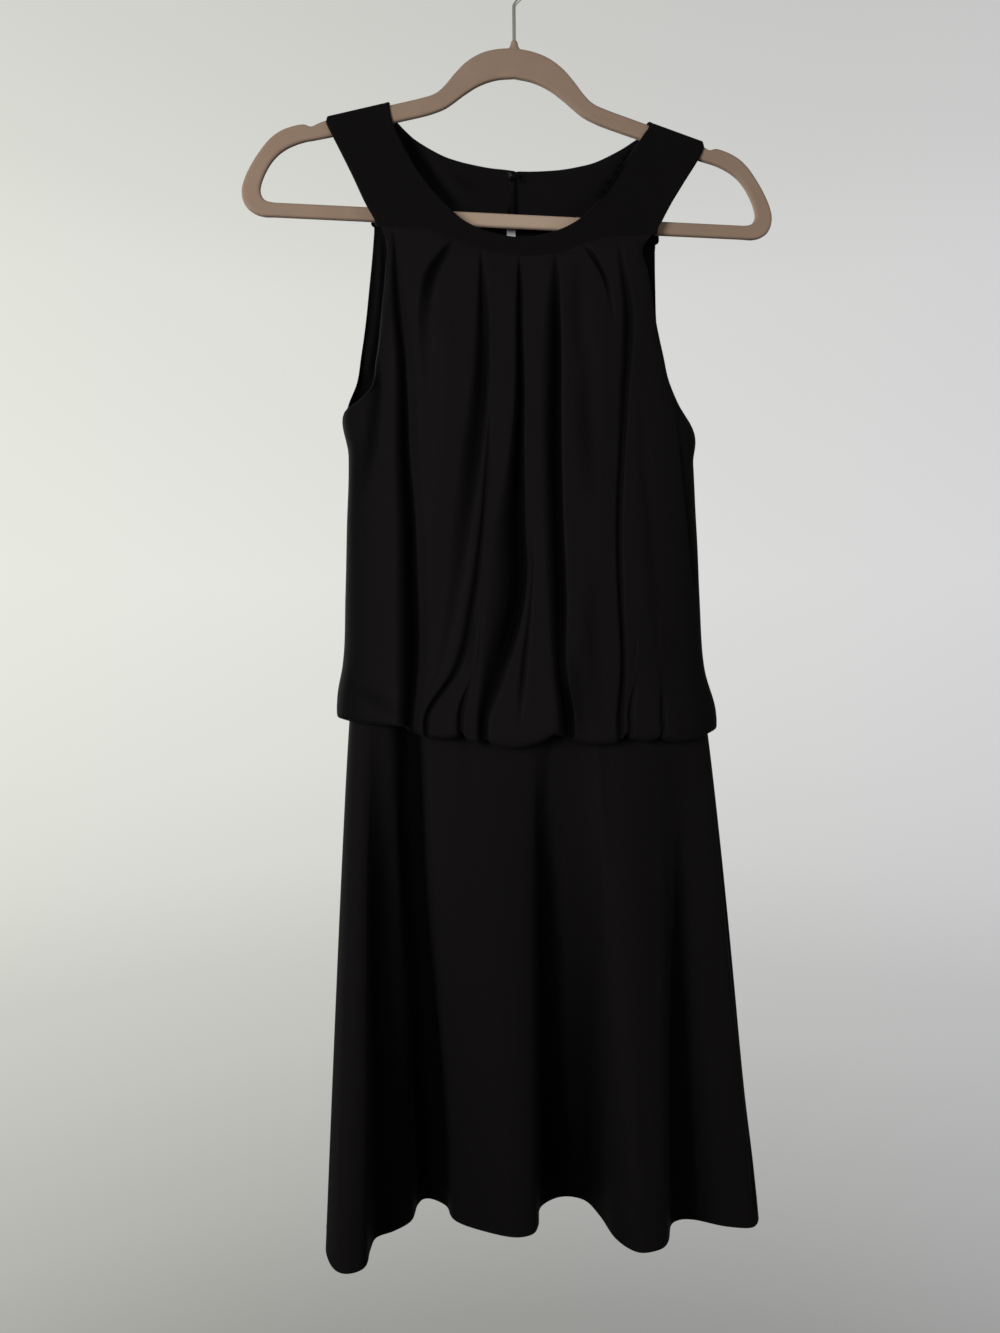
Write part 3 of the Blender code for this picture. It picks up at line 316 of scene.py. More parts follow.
# inset from the outline and y, round the moulded edge with its fine joint line
HANGER_EDGE = [
    (-0.12, 0.0), (0.05, 0.35), (0.08, 0.95), (0.35, 1.7), (0.9, 2.25), (1.75, 2.62), (2.8, 2.75),
]
BOSS_SIDES = 20
BOSS_HALF_Y = 2.5
# height and radius of the boss round the hook's foot
BOSS_ROWS = [
    (-88.0, 9.0), (-86.0, 7.0), (-84.6, 5.2), (-82.8, 3.8), (-80.6, 3.1), (-78.8, 2.8), (-78.2, 2.3),
]
BAR_LIT_REACH, BAR_TOP_Z = 62, -215  # painted highlight: the bar is painted lighter round its middle


def arm_top(x):
    """Height of the arm's straight top edge over x."""
    return ARM_TOP_Z - ARM_FALL * (abs(x) - ARM_TOP_X)


def hanger_grid():
    """Points of the hanger's frame: stations round it, and a closed section at each."""
    half = rounded(HANGER_ROWS, HANGER_STEPS)
    outline = np.concatenate([half, half[-2:0:-1] * np.array([-1, 1, -1, 1])])
    outer, inner = outline[:, :2], outline[:, 2:]
    inwards = unit(inner - outer)
    front = [(outer + inwards * inset, -y) for inset, y in HANGER_EDGE]
    front += [(outer + (inner - outer) * share, -HANGER_FACE_Y) for share in HANGER_FACE]
    front += [(inner - inwards * inset, -y) for inset, y in HANGER_EDGE[::-1]]
    section = front + [(plan, -y) for plan, y in front[-2:0:-1]]
    return np.stack([np.insert(plan, 1, y, axis=1) for plan, y in section], axis=1)


def make_hanger_frame():
    grid = hanger_grid()
    index = np.arange(grid.shape[0] * grid.shape[1]).reshape(grid.shape[:2])
    turn = full_turn(BOSS_SIDES)[:, None]
    boss = []
    for z, radius in BOSS_ROWS:
        ring = np.hstack([radius * np.cos(turn), min(radius, BOSS_HALF_Y) * np.sin(turn)])
        boss.append(np.insert(ring, 2, z, axis=1))
    rings = index.size + np.arange(len(boss) * BOSS_SIDES).reshape(-1, BOSS_SIDES)
    faces = band_faces(np.concatenate([index, index[:1]])) + band_faces(rings)
    faces += [rings[0, ::-1].tolist(), rings[-1].tolist()]
    points = np.concatenate([grid.reshape(-1, 3), *boss])
    piece = add_mesh("flocked_hanger", points, faces, "taupe flock")
    # painted highlight round the bar's middle, stored as its shade attribute
    give_shade(piece.data, np.exp(-((points[:, 0] / BAR_LIT_REACH) ** 4)) * (points[:, 2] < BAR_TOP_Z))
    return piece


def make_hanger_hook():
    path = [(0, z) for z in HOOK_STEM] + rounded(HOOK_NECK, HOOK_NECK_STEPS)[1:-1].tolist()
    radius = HOOK_INNER + HOOK_WIRE
    for angle in np.radians(HOOK_ARC):
        path.append((radius * math.cos(angle), radius * math.sin(angle) - HOOK_INNER))
    radii = [HOOK_WIRE] * len(path) + [HOOK_WIRE * part for _, part in HOOK_END]
    path += [np.add(path[-1], np.multiply(HOOK_TIP, share)) for share, _ in HOOK_END]
    return tube("wire_hook", np.insert(np.array(path), 1, 0, axis=1), radii, HOOK_SIDES, "bright wire")


# Yokes

# how the double cloth of a strap passes over the arm: y, and height above the arm's top edge
STRAP_BEND_FRONT = [(1.5, 2.45), (-1.2, 2.4), (-3.6, 1.5), (-5.0, -0.8), (-5.1, -4.0)]
STRAP_BEND_BACK = [(1.8, 2.43), (3.6, 1.5), (5.0, -0.8), (5.1, -4.0)]
SHOULDER_X = {-1: (-104.3, -153.8), 1: (113.9, 160.5)}  # neck and armhole edges on each arm

# x and z of the yokes' lower seam
FRONT_SEAM = [
    (-112, -243.6), (-80, -244.8), (-56, -252.5), (-30, -261), (0, -264.4), (30, -261.3), (55, -250.8),
    (78, -243.8), (113, -239.5),
]
BACK_SEAM = [
    (-116.3, -233), (-60, -235), (-20, -228), (2.5, -225.5), (25, -228), (65, -236), (119.5, -236.5),
]

# A yoke is a band. Each row is one place along it: x, y and z of its neck edge and its outer edge.
FRONT_YOKE_ROWS = [
    (-103, -5.4, -149.5, -150.5, -5.6, -164.5), (-98.5, -6.8, -164, -143, -7.4, -180),
    (-85.6, -9.6, -189.2, -133, -10.2, -201.5), (-78, -11, -200.5, -124.2, -12.3, -221.5),
    (-71.8, -12.4, -209.5, -117, -13.8, -235), (-66, -13.4, -216, -112, -15, -243.6),
    (-60.5, -14.3, -222, -86, -16.8, -244.4), (-53, -15.6, -229.5, -62, -18.3, -250),
    (-44, -16.8, -236.6, -45, -19.2, -256.4), (-32, -17.6, -242.4, -31, -19.9, -260.8),
    (-16, -18.2, -246.9, -16, -20.3, -263.4), (0, -18.4, -248.2, 0, -20.5, -264.4),
    (16, -18.2, -246.2, 16, -20.3, -263.5), (30, -17.6, -241.8, 31, -19.9, -261),
    (42, -16.8, -236, 44, -19.2, -256.2), (52.5, -15.6, -228.8, 59, -18.4, -249.2),
    (60, -14.3, -221.8, 82, -16.9, -243), (66.5, -13.3, -214.8, 113, -15, -239.5),
    (72.5, -12.2, -206.9, 118.5, -13.5, -230.5), (80, -10.8, -195.5, 127.5, -11.8, -214),
    (90.5, -9.2, -179.4, 140.5, -9.4, -193), (103, -6.9, -161, 152, -7.2, -175),
    (110.5, -5.5, -150, 157.5, -5.6, -165.8),
]
FRONT_CORNERS = (5, 17)  # rows where the armhole edge meets the seam
BACK_YOKE_LEFT_ROWS = [
    (-100.5, 5.6, -146, -148, 5.6, -164.5), (-93, 6.8, -153.4, -139, 6.9, -178),
    (-81.7, 8.4, -162, -129.2, 8.5, -197), (-62.3, 10.4, -171.2, -118.6, 10.8, -219),
    (-48, 11.3, -175.2, -116.3, 12.5, -233), (-34, 12, -177.6, -85, 14, -234.8),
    (-20, 12.4, -179.4, -50, 15, -233.6), (-8, 12.6, -180, -22, 15.5, -228.3),
    (2.5, 12.7, -180.9, 2.5, 15.7, -225.5),
]
BACK_YOKE_RIGHT_ROWS = [
    (109, 5.6, -148.5, 157, 5.6, -165.8), (102, 6.8, -153.5, 148.5, 6.9, -179),
    (90, 8.4, -161, 137.5, 8.5, -198), (71, 10.4, -170.3, 125.5, 10.8, -221.5),
    (55, 11.3, -174.8, 122.4, 12.5, -236.5), (40, 12, -177.8, 90, 14, -237.5),
    (26, 12.4, -179.5, 56, 15, -234.5), (14, 12.6, -180.5, 26, 15.5, -228.2),
    (2.5, 12.7, -180.9, 2.5, 15.7, -225.5),
]
BACK_YOKE_ROWS = {-1: BACK_YOKE_LEFT_ROWS, 1: BACK_YOKE_RIGHT_ROWS}
BACK_CORNER = 4

YOKE_FINE = 7  # columns to each row of the tables
YOKE_MIDDLE = 15  # rows between the neck edge's roll and the seam edge's
# distance of rows from each edge, and how far they stand out
YOKE_NECK_PLACES = (0.0, 0.7, 1.7, 2.8, 4.0, 5.5)
YOKE_NECK_LIFT = (0.0, 0.12, 0.15, 0.05, -0.12, 0.0)
YOKE_EDGE_PLACES = (9.0, 7.4, 6.0, 4.4, 3.0, 1.8, 0.8, 0.0)
YOKE_EDGE_LIFT = (0.0, 0.1, 0.0, -0.02, 0.1, 0.13, -0.03, -0.42)
RIDGE_SHARES = (0.25, 1.0)  # of the edge's lift, along the armholes and along the seam
SLIT_HALF = 0.12  # the slit's edges are held together by the hook and eye
SLIT_PLACES = (2.2, 1.4, 0.85, 0.4, 0.0)  # columns from the edge
SLIT_LIFT = (0.0, 0.15, 0.5, 1.1, 1.9)
SLIT_SHADE = (0.0, 0.1, 0.5, 0.9, 1.0)
# painted shade over the whole of each yoke
YOKE_SHADE = {"front": 0.3, "back": 0.2}


def shoulder_rows(bend, side):
    """Neck-to-armhole rows of a strap where it passes over the hanger's arm."""
    neck_x, edge_x = SHOULDER_X[side]
    return [(neck_x, y, arm_top(neck_x) + rise, edge_x, y, arm_top(edge_x) + rise) for y, rise in bend]


def yoke_grid(rows, seam, seam_from, seam_to):
    """Fine grid along the yoke, and how far its raised seam edge and rolled neck edge stand out."""
    grid = []
    for index, row in enumerate(rounded(rows, YOKE_FINE)):
        neck, edge = row[:3], row[3:].copy()
        if seam_from * YOKE_FINE <= index <= seam_to * YOKE_FINE:
            edge[2] = smooth(*np.transpose(seam), edge[0])
        width = np.linalg.norm(edge - neck)
        from_edge = width - np.array(YOKE_EDGE_PLACES)
        middle = np.linspace(YOKE_NECK_PLACES[-1], from_edge[0], YOKE_MIDDLE + 2)[1:-1]
        places = np.concatenate([YOKE_NECK_PLACES, middle, from_edge])
        grid.append(neck + (edge - neck) * (places / width)[:, None])
    grid = np.array(grid).transpose(1, 0, 2)
    columns = np.arange(grid.shape[1])
    ends = np.minimum(columns - seam_from * YOKE_FINE, seam_to * YOKE_FINE - columns)
    lift = np.zeros(grid.shape[:2])
    lift[: len(YOKE_NECK_LIFT)] = np.array(YOKE_NECK_LIFT)[:, None]
    lift[-len(YOKE_EDGE_LIFT) :] = np.outer(YOKE_EDGE_LIFT, np.clip(ends / YOKE_FINE + 0.5, *RIDGE_SHARES))
    return grid, lift


def front_yoke_grid():
    """The front yoke's grid, how far it stands out, and its columns along the seam."""
    shoulders = {side: shoulder_rows(STRAP_BEND_FRONT, side) for side in SIDES}
    rows = shoulders[-1] + FRONT_YOKE_ROWS + shoulders[1][::-1]
    first, last = (len(STRAP_BEND_FRONT) + corner for corner in FRONT_CORNERS)
    return *yoke_grid(rows, FRONT_SEAM, first, last), slice(first * YOKE_FINE, last * YOKE_FINE + 1)


def back_yoke_grid(side):
    """The same of one half of the back yoke, with finer columns along the slit."""
    rows = shoulder_rows(STRAP_BEND_BACK, side) + BACK_YOKE_ROWS[side]
    corner = len(STRAP_BEND_BACK) + BACK_CORNER
    grid, lift = yoke_grid(rows, BACK_SEAM, corner, len(rows))
    last = grid.shape[1] - 1
    grid[:, last, 0] = CENTRE_BACK_X + side * SLIT_HALF
    columns = np.concatenate([np.arange(last - 1), last - np.array(SLIT_PLACES)])
    grid = smooth(np.arange(last + 1), grid.transpose(1, 0, 2), columns).transpose(1, 0, 2)
    lift = smooth(np.arange(last + 1), lift.T, columns).T
    lift[:, -len(SLIT_LIFT) :] += SLIT_LIFT
    on_seam = np.arange(grid.shape[1]) >= corner * YOKE_FINE
    return grid[:, ::side], lift[:, ::side], on_seam[::side]


def lifted(grid, lift, creases, shadows, tone):
    """The grid moved out along its normals, with its creases pressed in, and its painted shade from the
    creases, the painted shadows and an even tone over all.
    """
    depth, shade = crease_field(grid, creases)
    shade = np.minimum(shade + crease_field(grid, shadows)[1] + tone, 1.0)
    return np.dstack([grid + grid_normals(grid) * (lift - depth)[:, :, None], shade])


def make_front_yoke():
    grid, lift, _ = front_yoke_grid()
    grid = lifted(grid, lift, [], FRONT_YOKE_SHADOWS, YOKE_SHADE["front"])
    return cloth_shell("yoke_front", grid, YOKE_WALL, "black jersey", None)


def make_back_yoke(side):
    grid, lift, _ = back_yoke_grid(side)
    grid = lifted(grid, lift, BACK_YOKE_CREASES, BACK_YOKE_SHADOWS, YOKE_SHADE["back"])
    slit = grid[:, ::side][:, -len(SLIT_SHADE) :]
    slit[:, :, 3] += SLIT_SHADE
    return cloth_shell(f"yoke_back_{SIDES[side]}", grid, YOKE_WALL, "black jersey", None)


# Skirt

WAIST_LEFT, WAIST_RIGHT = -139.0, 156.5
WAIST_FRONT, WAIST_BACK = -29.0, 26.0
# Crest, flank and valley lines from the waist to the hem, from the left side seam round the front
# and from the right one round the back: x at the waist, then x, y and z at the hem.
FRONT_SKIRT_LINES = [
    (-139, -161, -12, -1050.5), (-137.5, -161.5, -32, -1053), (-134, -155, -50, -1056),
    (-129, -144, -56, -1057), (-124, -131, -51, -1056), (-120, -127, -34, -1053),
    (-116, -122, -20, -1051.5), (-111, -107.5, -14, -1050.5), (-106, -93.5, -4, -1049),
    (-100, -87.5, 15, -1047), (-94, -80, 21, -1046), (-87, -69, 10, -1047.5), (-78, -58, -8, -1050),
    (-58, -40, -21, -1051.5), (-30, -15, -32, -1053.2), (-5, 1.5, -31, -1053), (6, 8.5, -21, -1051.5),
    (13, 14, 0, -1048.5), (28, 33, 11, -1047), (42, 51.5, 5, -1048), (53, 60.5, -16, -1051),
    (62, 67, -43, -1055), (77, 80, -59, -1057.4), (96, 95.5, -59, -1057.4), (112, 108, -49, -1056),
    (124, 121, -33, -1053.3), (134, 136, -31, -1053), (144, 160, -40, -1054.3), (151, 181, -43, -1055),
    (155.2, 190.5, -32, -1053.3),
]
BACK_SKIRT_LINES = [
    (156.5, 191, -16, -1051.5), (155.2, 191.5, 4, -1051), (151, 186, 24, -1051), (142, 170, 41, -1051.5),
    (125, 148, 49, -1052.5), (108, 126, 45, -1051.5), (90, 104, 37, -1050.5), (73, 82, 39, -1051),
    (56, 60, 52, -1052.5), (38, 36, 59, -1053), (20, 13, 53, -1052), (2, -9, 42, -1050.5),
    (-16, -31, 43, -1051), (-34, -54, 54, -1052.5), (-54, -78, 62, -1053), (-74, -100, 56, -1052),
    (-94, -119, 42, -1050.5), (-113, -138, 34, -1050.5), (-128, -153, 25, -1050.5),
    (-137, -161.5, 8, -1050.5),
]
FLARE_EASE = 0.82  # the outline widens fastest just under the waist
FOLD_EASE = 1.15  # the folds deepen towards the hem
SKIRT_FINE = 8  # columns to each line
SKIRT_ROWS, SKIRT_ROW_EASE = 62, 1.15  # the rows stand a little closer at the waist
SKIRT_HEM_DROPS = (0.985, 0.99, 0.9945, 0.998, 1.0)
HEM_RIDGE = (20.0, 0.35, 2.5)  # height over the hem, how far it stands out, and its half width
SKIRT_DUSK = (0.12, 0.3)  # painted shade over all of the skirt, at its waist and at its hem


def skirt_ring(drop):
    """Closed section of the skirt, drop from 0 at the waist to 1 at the hem."""
    left, right = (WAIST_LEFT, 0), (WAIST_RIGHT, 0)
    front, back = section_arc(left, right, WAIST_FRONT), section_arc(right, left, WAIST_BACK)[::-1]
    lines = []
    for table, arc in ((FRONT_SKIRT_LINES, front), (BACK_SKIRT_LINES, back)):
        for waist_x, hem_x, hem_y, hem_z in table:
            waist_y = np.interp(waist_x, arc[:, 0], arc[:, 1])
            x = waist_x + (hem_x - waist_x) * drop**FLARE_EASE
            y = waist_y + (hem_y - waist_y) * drop**FOLD_EASE
            lines.append((x, y, WAIST_Z + (hem_z - WAIST_Z) * drop))
    return rounded(lines, SKIRT_FINE, closed=True)


def skirt_panels():
    """Each panel's grid and outward normals, and how far each row stands out over the hem's fold."""
    drops = np.concatenate([np.linspace(0, 1, SKIRT_ROWS)[:-1] ** SKIRT_ROW_EASE, SKIRT_HEM_DROPS])
    rings = np.array([skirt_ring(drop) for drop in drops])
    rise, height, reach = HEM_RIDGE
    ridge = (1 - drops) * (WAIST_Z - rings[-1, :, 2].min()) - rise
    ridge = height * np.exp(-((ridge / reach) ** 2))
    padded = np.concatenate([rings[:, -1:], rings, rings[:, :2]], axis=1)
    rings, normals = padded[:, 1:-1], grid_normals(padded)[:, 1:-1]
    split = SKIRT_FINE * len(FRONT_SKIRT_LINES)
    return {
        "front": (rings[:, : split + 1], normals[:, : split + 1], ridge),
        "back": (rings[:, split:], normals[:, split:], ridge),
    }


def make_skirt_panel(side):
    grid, normals, ridge = skirt_panels()[side]
    depth, shade = crease_field(grid, SKIRT_CREASES[side])
    fall = (WAIST_Z - grid[:, :, 2]) / (WAIST_Z - grid[:, :, 2].min())
    shade += np.interp(fall, (0, 1), SKIRT_DUSK)
    shade = np.clip(shade + hollow(grid, SKIRT_DARK_DEPTH, SKIRT_RIGHT_SHARE), 0, 1)
    grid = grid + normals * (ridge[:, None] - depth)[:, :, None]
    for edge, beside in ((0, 1), (-1, -2)):
        grid[:, edge] += unit(grid[:, beside] - grid[:, edge]) * SEAM_GAP / 2
    grid = np.dstack([grid, shade])
    return cloth_shell(f"skirt_{side}", grid, SKIRT_WALL, "black jersey", WAIST_Z, DARK_INSIDE)


# Creases

# Each has a side that is steep (0 neither, 1 towards +X, -1 towards -X), then rows of x, z, depth
# and half width. A depth below 0 is a ridge. The yokes' shadows are creases that are only shaded,
# where one yoke lies close behind the other.
FRONT_YOKE_SHADOWS = [
    (0, [(98.2, -161.4, 3.5, 1.6), (87, -184.4, 5, 1.8), (75.1, -202.9, 5, 1.8), (66, -214.5, 2, 1.5)]),
]
BACK_YOKE_SHADOWS = [
    (0, [(-92, -155, 3, 3.5), (-84.4, -169.2, 5, 5.5), (-67.6, -191.8, 3.8, 5), (-51.8, -210.9, 2.6, 4)]),
    (0, [(100.5, -160, 3, 1.5), (96.6, -167.1, 5, 2.4), (85.6, -183.8, 5, 2.4), (74, -200.2, 5, 2.6)]),
]
BACK_YOKE_CREASES = [
    (0, [(-74, -171, -0.3, 3), (-66, -185, -2, 4), (-54, -200, -1.8, 4), (-40, -211, -0.3, 4)]),
    (0, [(-56, -182, 0.3, 4), (-44, -193, 0.9, 5), (-30, -200, 0.3, 5)]),
    (0, [(-46, -202, -0.3, 2.5), (-36, -208, -0.8, 2.5), (-24, -210, -0.2, 2.5)]),
    (0, [(-2.9, -184, 0.4, 1.5), (-2.7, -205, 0.4, 1.5), (-2.4, -224, 0.3, 1.5)]),
    (0, [(7.6, -184, 0.25, 1.5), (7.4, -205, 0.3, 1.5), (7.2, -224, 0.25, 1.5)]),
]
FRONT_CREASES = [
    (0, [(-99, -245.5, -0.2, 2), (-80, -248.3, -0.8, 2.2), (-63, -253, -0.9, 2.2), (-30, -265.4, -0.2, 2)]),
    (0, [(2, -268, -0.1, 2), (27, -264, -0.5, 2), (51, -254.5, -0.5, 2), (60, -250.5, -0.1, 2)]),
    (0, [(-102, -262, -0.3, 2), (-105.5, -290, -0.7, 2.2), (-111, -335, -0.7, 2.4), (-118, -366, -0.3, 3)]),
    (0, [(-114, -358, 0.8, 4), (-116, -377, 3, 5), (-120.6, -415, 2.8, 6), (-127.4, -453, 0.8, 7)]),
    (0, [(47, -268, 0.5, 5), (46, -308, 1.4, 6), (48, -345, 0.6, 6)]),
    (0, [(52, -345, 0.8, 8), (52, -400, 1.8, 9), (55, -455, 0.6, 9)]),
    (0, [(100, -395, 0.6, 5), (102, -455, 0.9, 6), (108, -540, 1, 8), (114, -628, 0.4, 8)]),
    (1, [(131, -380, 0.8, 3), (137, -421, 2, 3.2), (142.2, -478, 2, 3.2), (146, -530, 0.8, 3.5)]),
    (0, [(40, -590, 0.4, 8), (41, -620, 1.8, 9), (43, -648, 0.8, 9)]),
    (0, [(-134, -614, 0.4, 5), (-120, -622, 1.6, 6), (-103, -632, 0.8, 6)]),
    (0, [(56, -520, 0.3, 8), (54, -575, 1.4, 9), (57, -640, 0.5, 9)]),
    (0, [(-66, -290, -0.4, 9), (-62, -340, -1.2, 12), (-66, -420, -1, 12), (-74, -520, -0.4, 12)]),
    (0, [(62, -300, -0.4, 8), (66, -360, -1, 9), (64, -440, -0.6, 10)]),
]
BACK_CREASES = [
    (0, [(-112, -243, 0.6, 2), (-112.5, -270, 2, 2.2), (-115, -300, 1.2, 2.4), (-122, -350, 2.4, 4)]),
    (0, [(112, -372, 0.6, 5), (122, -400, 2.2, 6), (126, -440, 0.7, 7)]),
    (0, [(-104, -368, 0.6, 5), (-114, -398, 2, 6), (-118, -436, 0.7, 7)]),
    (0, [(26, -250, 0.3, 8), (24, -330, 1.4, 10), (28, -420, 0.5, 10)]),
    (0, [(-18, -260, 0.3, 8), (-20, -350, 1.2, 10), (-16, -430, 0.4, 10)]),
    (0, [(78, -480, 0.4, 8), (84, -540, 1.4, 9), (86, -600, 0.5, 9)]),
    (0, [(-70, -500, 0.3, 8), (-72, -560, 1.2, 9), (-70, -620, 0.4, 9)]),
]
# the big creases shape both panels
SHARED_SKIRT_CREASES = [
    (1, [
        (-89, -640, 5.5, 17), (-88, -686, 6, 17), (-85, -779, 6, 16), (-77.5, -872, 5.5, 15),
        (-70, -964, 5, 14), (-68, -1052, 4.5, 14),
    ]),
    (0, [(-119, -650, 1, 10), (-118, -700, 1.8, 12), (-117, -780, 2.8, 13), (-118, -900, 0.8, 13)]),
    (0, [(-96, -640, 3, 8), (-95, -700, 3.2, 6), (-92, -780, 2.6, 5), (-86, -860, 0.8, 4)]),
    (0, [(14, -700, 0.6, 6), (18, -780, 3, 10), (21, -880, 2, 11), (23, -940, 0.3, 9)]),
    (0, [(112, -740, -0.5, 7), (108, -850, -2.5, 8), (104, -950, -3.5, 9), (102, -1052, -3.5, 9)]),
    (-1, [
        (129, -735, 0.5, 7), (127, -790, 2.5, 10), (124, -860, 3.6, 15), (122, -950, 4, 21),
        (121, -1052, 4, 26),
    ]),
    (0, [(160, -690, 0.3, 2.5), (173, -838, 2, 3), (182.5, -958, 2.5, 3), (184.5, -1040, 1.5, 3)]),
]
SKIRT_CREASES = {
    "front": SHARED_SKIRT_CREASES + [
        (0, [(20, -648, 0.6, 5), (17, -690, 1.4, 6), (13, -760, 0.4, 6)]),
        (0, [(-48, -640, 0.5, 3), (-47, -700, 0.3, 4), (-46, -740, 0.1, 4)]),
        (0, [(64, -640, 0.4, 4), (66, -700, 0.5, 5), (68, -760, 0.1, 5)]),
    ],
    "back": SHARED_SKIRT_CREASES + [
        (0, [(60, -640, 0.5, 5), (64, -700, 1, 6), (68, -770, 0.2, 6)]),
        (0, [(-40, -640, 0.5, 5), (-42, -700, 1, 6), (-46, -770, 0.2, 6)]),
    ],
}
CREASE_STEPS = 5  # points to each row of a crease
CREASE_REACH = 2.6  # widths beyond which a crease no longer shows
CREASE_ROUNDNESS = 1.4
CREASE_DARK_DEPTH = 5.0
STEEP_SHARE = 0.4
HOLLOW_CURVE = 0.015  # how fast a crest's reach falls off with the square of the distance from it
HOLLOW_SPREAD, EDGE_RISE = 0.12, 5.0  # shade lost to each side in a millimetre, and its rise from an edge
BODICE_DARK_DEPTH, SKIRT_DARK_DEPTH = 7.5, 22.0
BODICE_RIGHT_SHARE, SKIRT_RIGHT_SHARE = 1.0, 0.35  # how much the crests on the +X side count in the painted shade of a hollow
# height of a slight wave, its reach across and down, and its phase
CLOTH_WAVES = [(0.35, 17.0, 120.0, 0.4), (0.25, 9.5, 70.0, 1.9), (0.18, 5.6, 44.0, 3.3)]
CROSS_REACH, CROSS_PHASE = 0.37, 2.1  # of the wave down the cloth that breaks each one up
WAVE_FADE_ROWS = 8


def nearest_on_line(x, z, line):
    """Distance, depth, width and side of each point at its nearest place on a crease's line."""
    best = np.full(x.shape, np.inf)
    found = np.zeros((3, *x.shape))
    for start, end in zip(line[:-1], line[1:]):
        run_x, run_z = end[:2] - start[:2]
        share = ((x - start[0]) * run_x + (z - start[1]) * run_z) / (run_x**2 + run_z**2)
        share = np.clip(share, 0, 1)
        away_x, away_z = x - start[0] - share * run_x, z - start[1] - share * run_z
        distance = np.hypot(away_x, away_z)
        closer = distance < best
        best[closer] = distance[closer]
        turned = np.sign((away_x * run_z - away_z * run_x) * run_z)
        for place, value in enumerate((*(start[2:] + share[:, None] * (end - start)[2:]).T, turned)):
            found[place][closer] = value[closer]
    return best, *found


def crease_field(grid, creases):
    """Inward depth and shade of the creases pressed into a panel, from each point's x and z."""
    x, z = grid[:, :, 0], grid[:, :, 2]
    depth, shade = np.zeros((2, *x.shape))
    for steep, rows in creases:
        line = rounded(rows, CREASE_STEPS)
        reach = CREASE_REACH * line[:, 3].max()
        near = (x > line[:, 0].min() - reach) & (x < line[:, 0].max() + reach)
        near &= (z > line[:, 1].min() - reach) & (z < line[:, 1].max() + reach)
        off, deep, wide, side = nearest_on_line(x[near], z[near], line)
        wide = np.where(side == steep, wide * STEEP_SHARE, wide)
        form = np.exp(-CREASE_ROUNDNESS * (off / wide) ** 2)
        depth[near] += deep * form
        shade[near] += np.clip(deep / CREASE_DARK_DEPTH, 0, 1) * form
    return depth, np.clip(shade, 0, 1)


def hollow(grid, dark_depth, right_share):
    """Painted shade from how far each point lies in a hollow of its row, from 0 on a crest to 1."""
    out = np.abs(grid[:, :, 1]) * np.sign(grid[:, :, 1].mean()) * np.sign(grid[:, :, 1])
    shade = np.empty(out.shape)
    for index, row in enumerate(out):
        x = grid[index, :, 0]
        towards = x[None, :] - x[:, None]
        above = row[None, :] - HOLLOW_CURVE * towards**2 - row[:, None]
        above *= np.where(towards > 0, right_share, 1.0)
        deep = np.clip(above.max(axis=1) / dark_depth, 0, 1)
        wide = (deep[None, :] - HOLLOW_SPREAD * np.abs(towards)).max(axis=1)
        shade[index] = np.minimum(wide, EDGE_RISE * deep)
    return shade


def pressed(grid, creases):
    """The grid with its creases and its slight unevenness pressed in, and its shade."""
    depth, shade = crease_field(grid, creases)
    x, z = grid[:, :, 0], grid[:, :, 2]
    wave = np.zeros(x.shape)
    for height, across, down, phase in CLOTH_WAVES:
        crossing = np.cos(z / (down * CROSS_REACH) + phase * CROSS_PHASE)
        wave += height * np.sin(x / across + z / down + phase) * crossing
    rows = np.arange(len(grid))
    fade = np.clip(np.minimum(rows, rows[::-1]) / WAVE_FADE_ROWS, 0, 1)[:, None]
    shade = np.clip(shade + hollow(grid, BODICE_DARK_DEPTH, BODICE_RIGHT_SHARE), 0, 1)
    return np.dstack([grid + grid_normals(grid) * (wave * fade - depth)[:, :, None], shade])


# Bodice

BLOUSON_LEFT, BLOUSON_RIGHT = -150.7, 168.0
BLOUSON_FRONT, BLOUSON_BACK = -46.0, 41.0
# Sections: ends of the row at the armhole or side seam, and the depth at its middle. seam_share and
# low_share say how far the row follows the yoke seam and the blouson's lower edge.
BodiceRow = namedtuple(
    "BodiceRow", "left_x left_y left_z right_x right_y right_z crown_y seam_share low_share"
)
FRONT_ROWS = [
    BodiceRow(-112, -15, -243.9, 113, -15, -239.8, -20.5, 1, 0),  # yoke seam
    BodiceRow(-107.4, -15.2, -256.5, 104, -15.2, -250.5, -22, 0.85, 0),  # under yoke
    BodiceRow(-108.8, -15, -278, 108, -15, -269, -24, 0.6, 0),  # armhole 1
    BodiceRow(-112, -14.5, -314, 114, -14.5, -303, -26, 0.35, 0),  # armhole 2
    BodiceRow(-116, -13, -349, 121.5, -12.5, -338, -28, 0.2, 0),  # armhole 3
    BodiceRow(-122.5, -10, -374, 129, -9.5, -366, -29.5, 0.1, 0),  # armhole 4
    BodiceRow(-131.5, -5, -382, 138, -5, -381.5, -30, 0.06, 0),  # armhole 5
    BodiceRow(-140, 0, -387, 147.5, 0, -393, -30.5, 0.03, 0),  # underarm
    BodiceRow(-139.5, 0, -425, 150, 0, -428, -31.5, 0, 0),  # bust
    BodiceRow(-141, 0, -482, 152, 0, -482, -34, 0, 0),  # midriff
    BodiceRow(-142.7, 0, -540, 154.5, 0, -542, -37.5, 0, 0.1),  # waist
    BodiceRow(-145.6, 0, -594, 158.5, 0, -600, -42, 0, 0.5),  # blouson
]
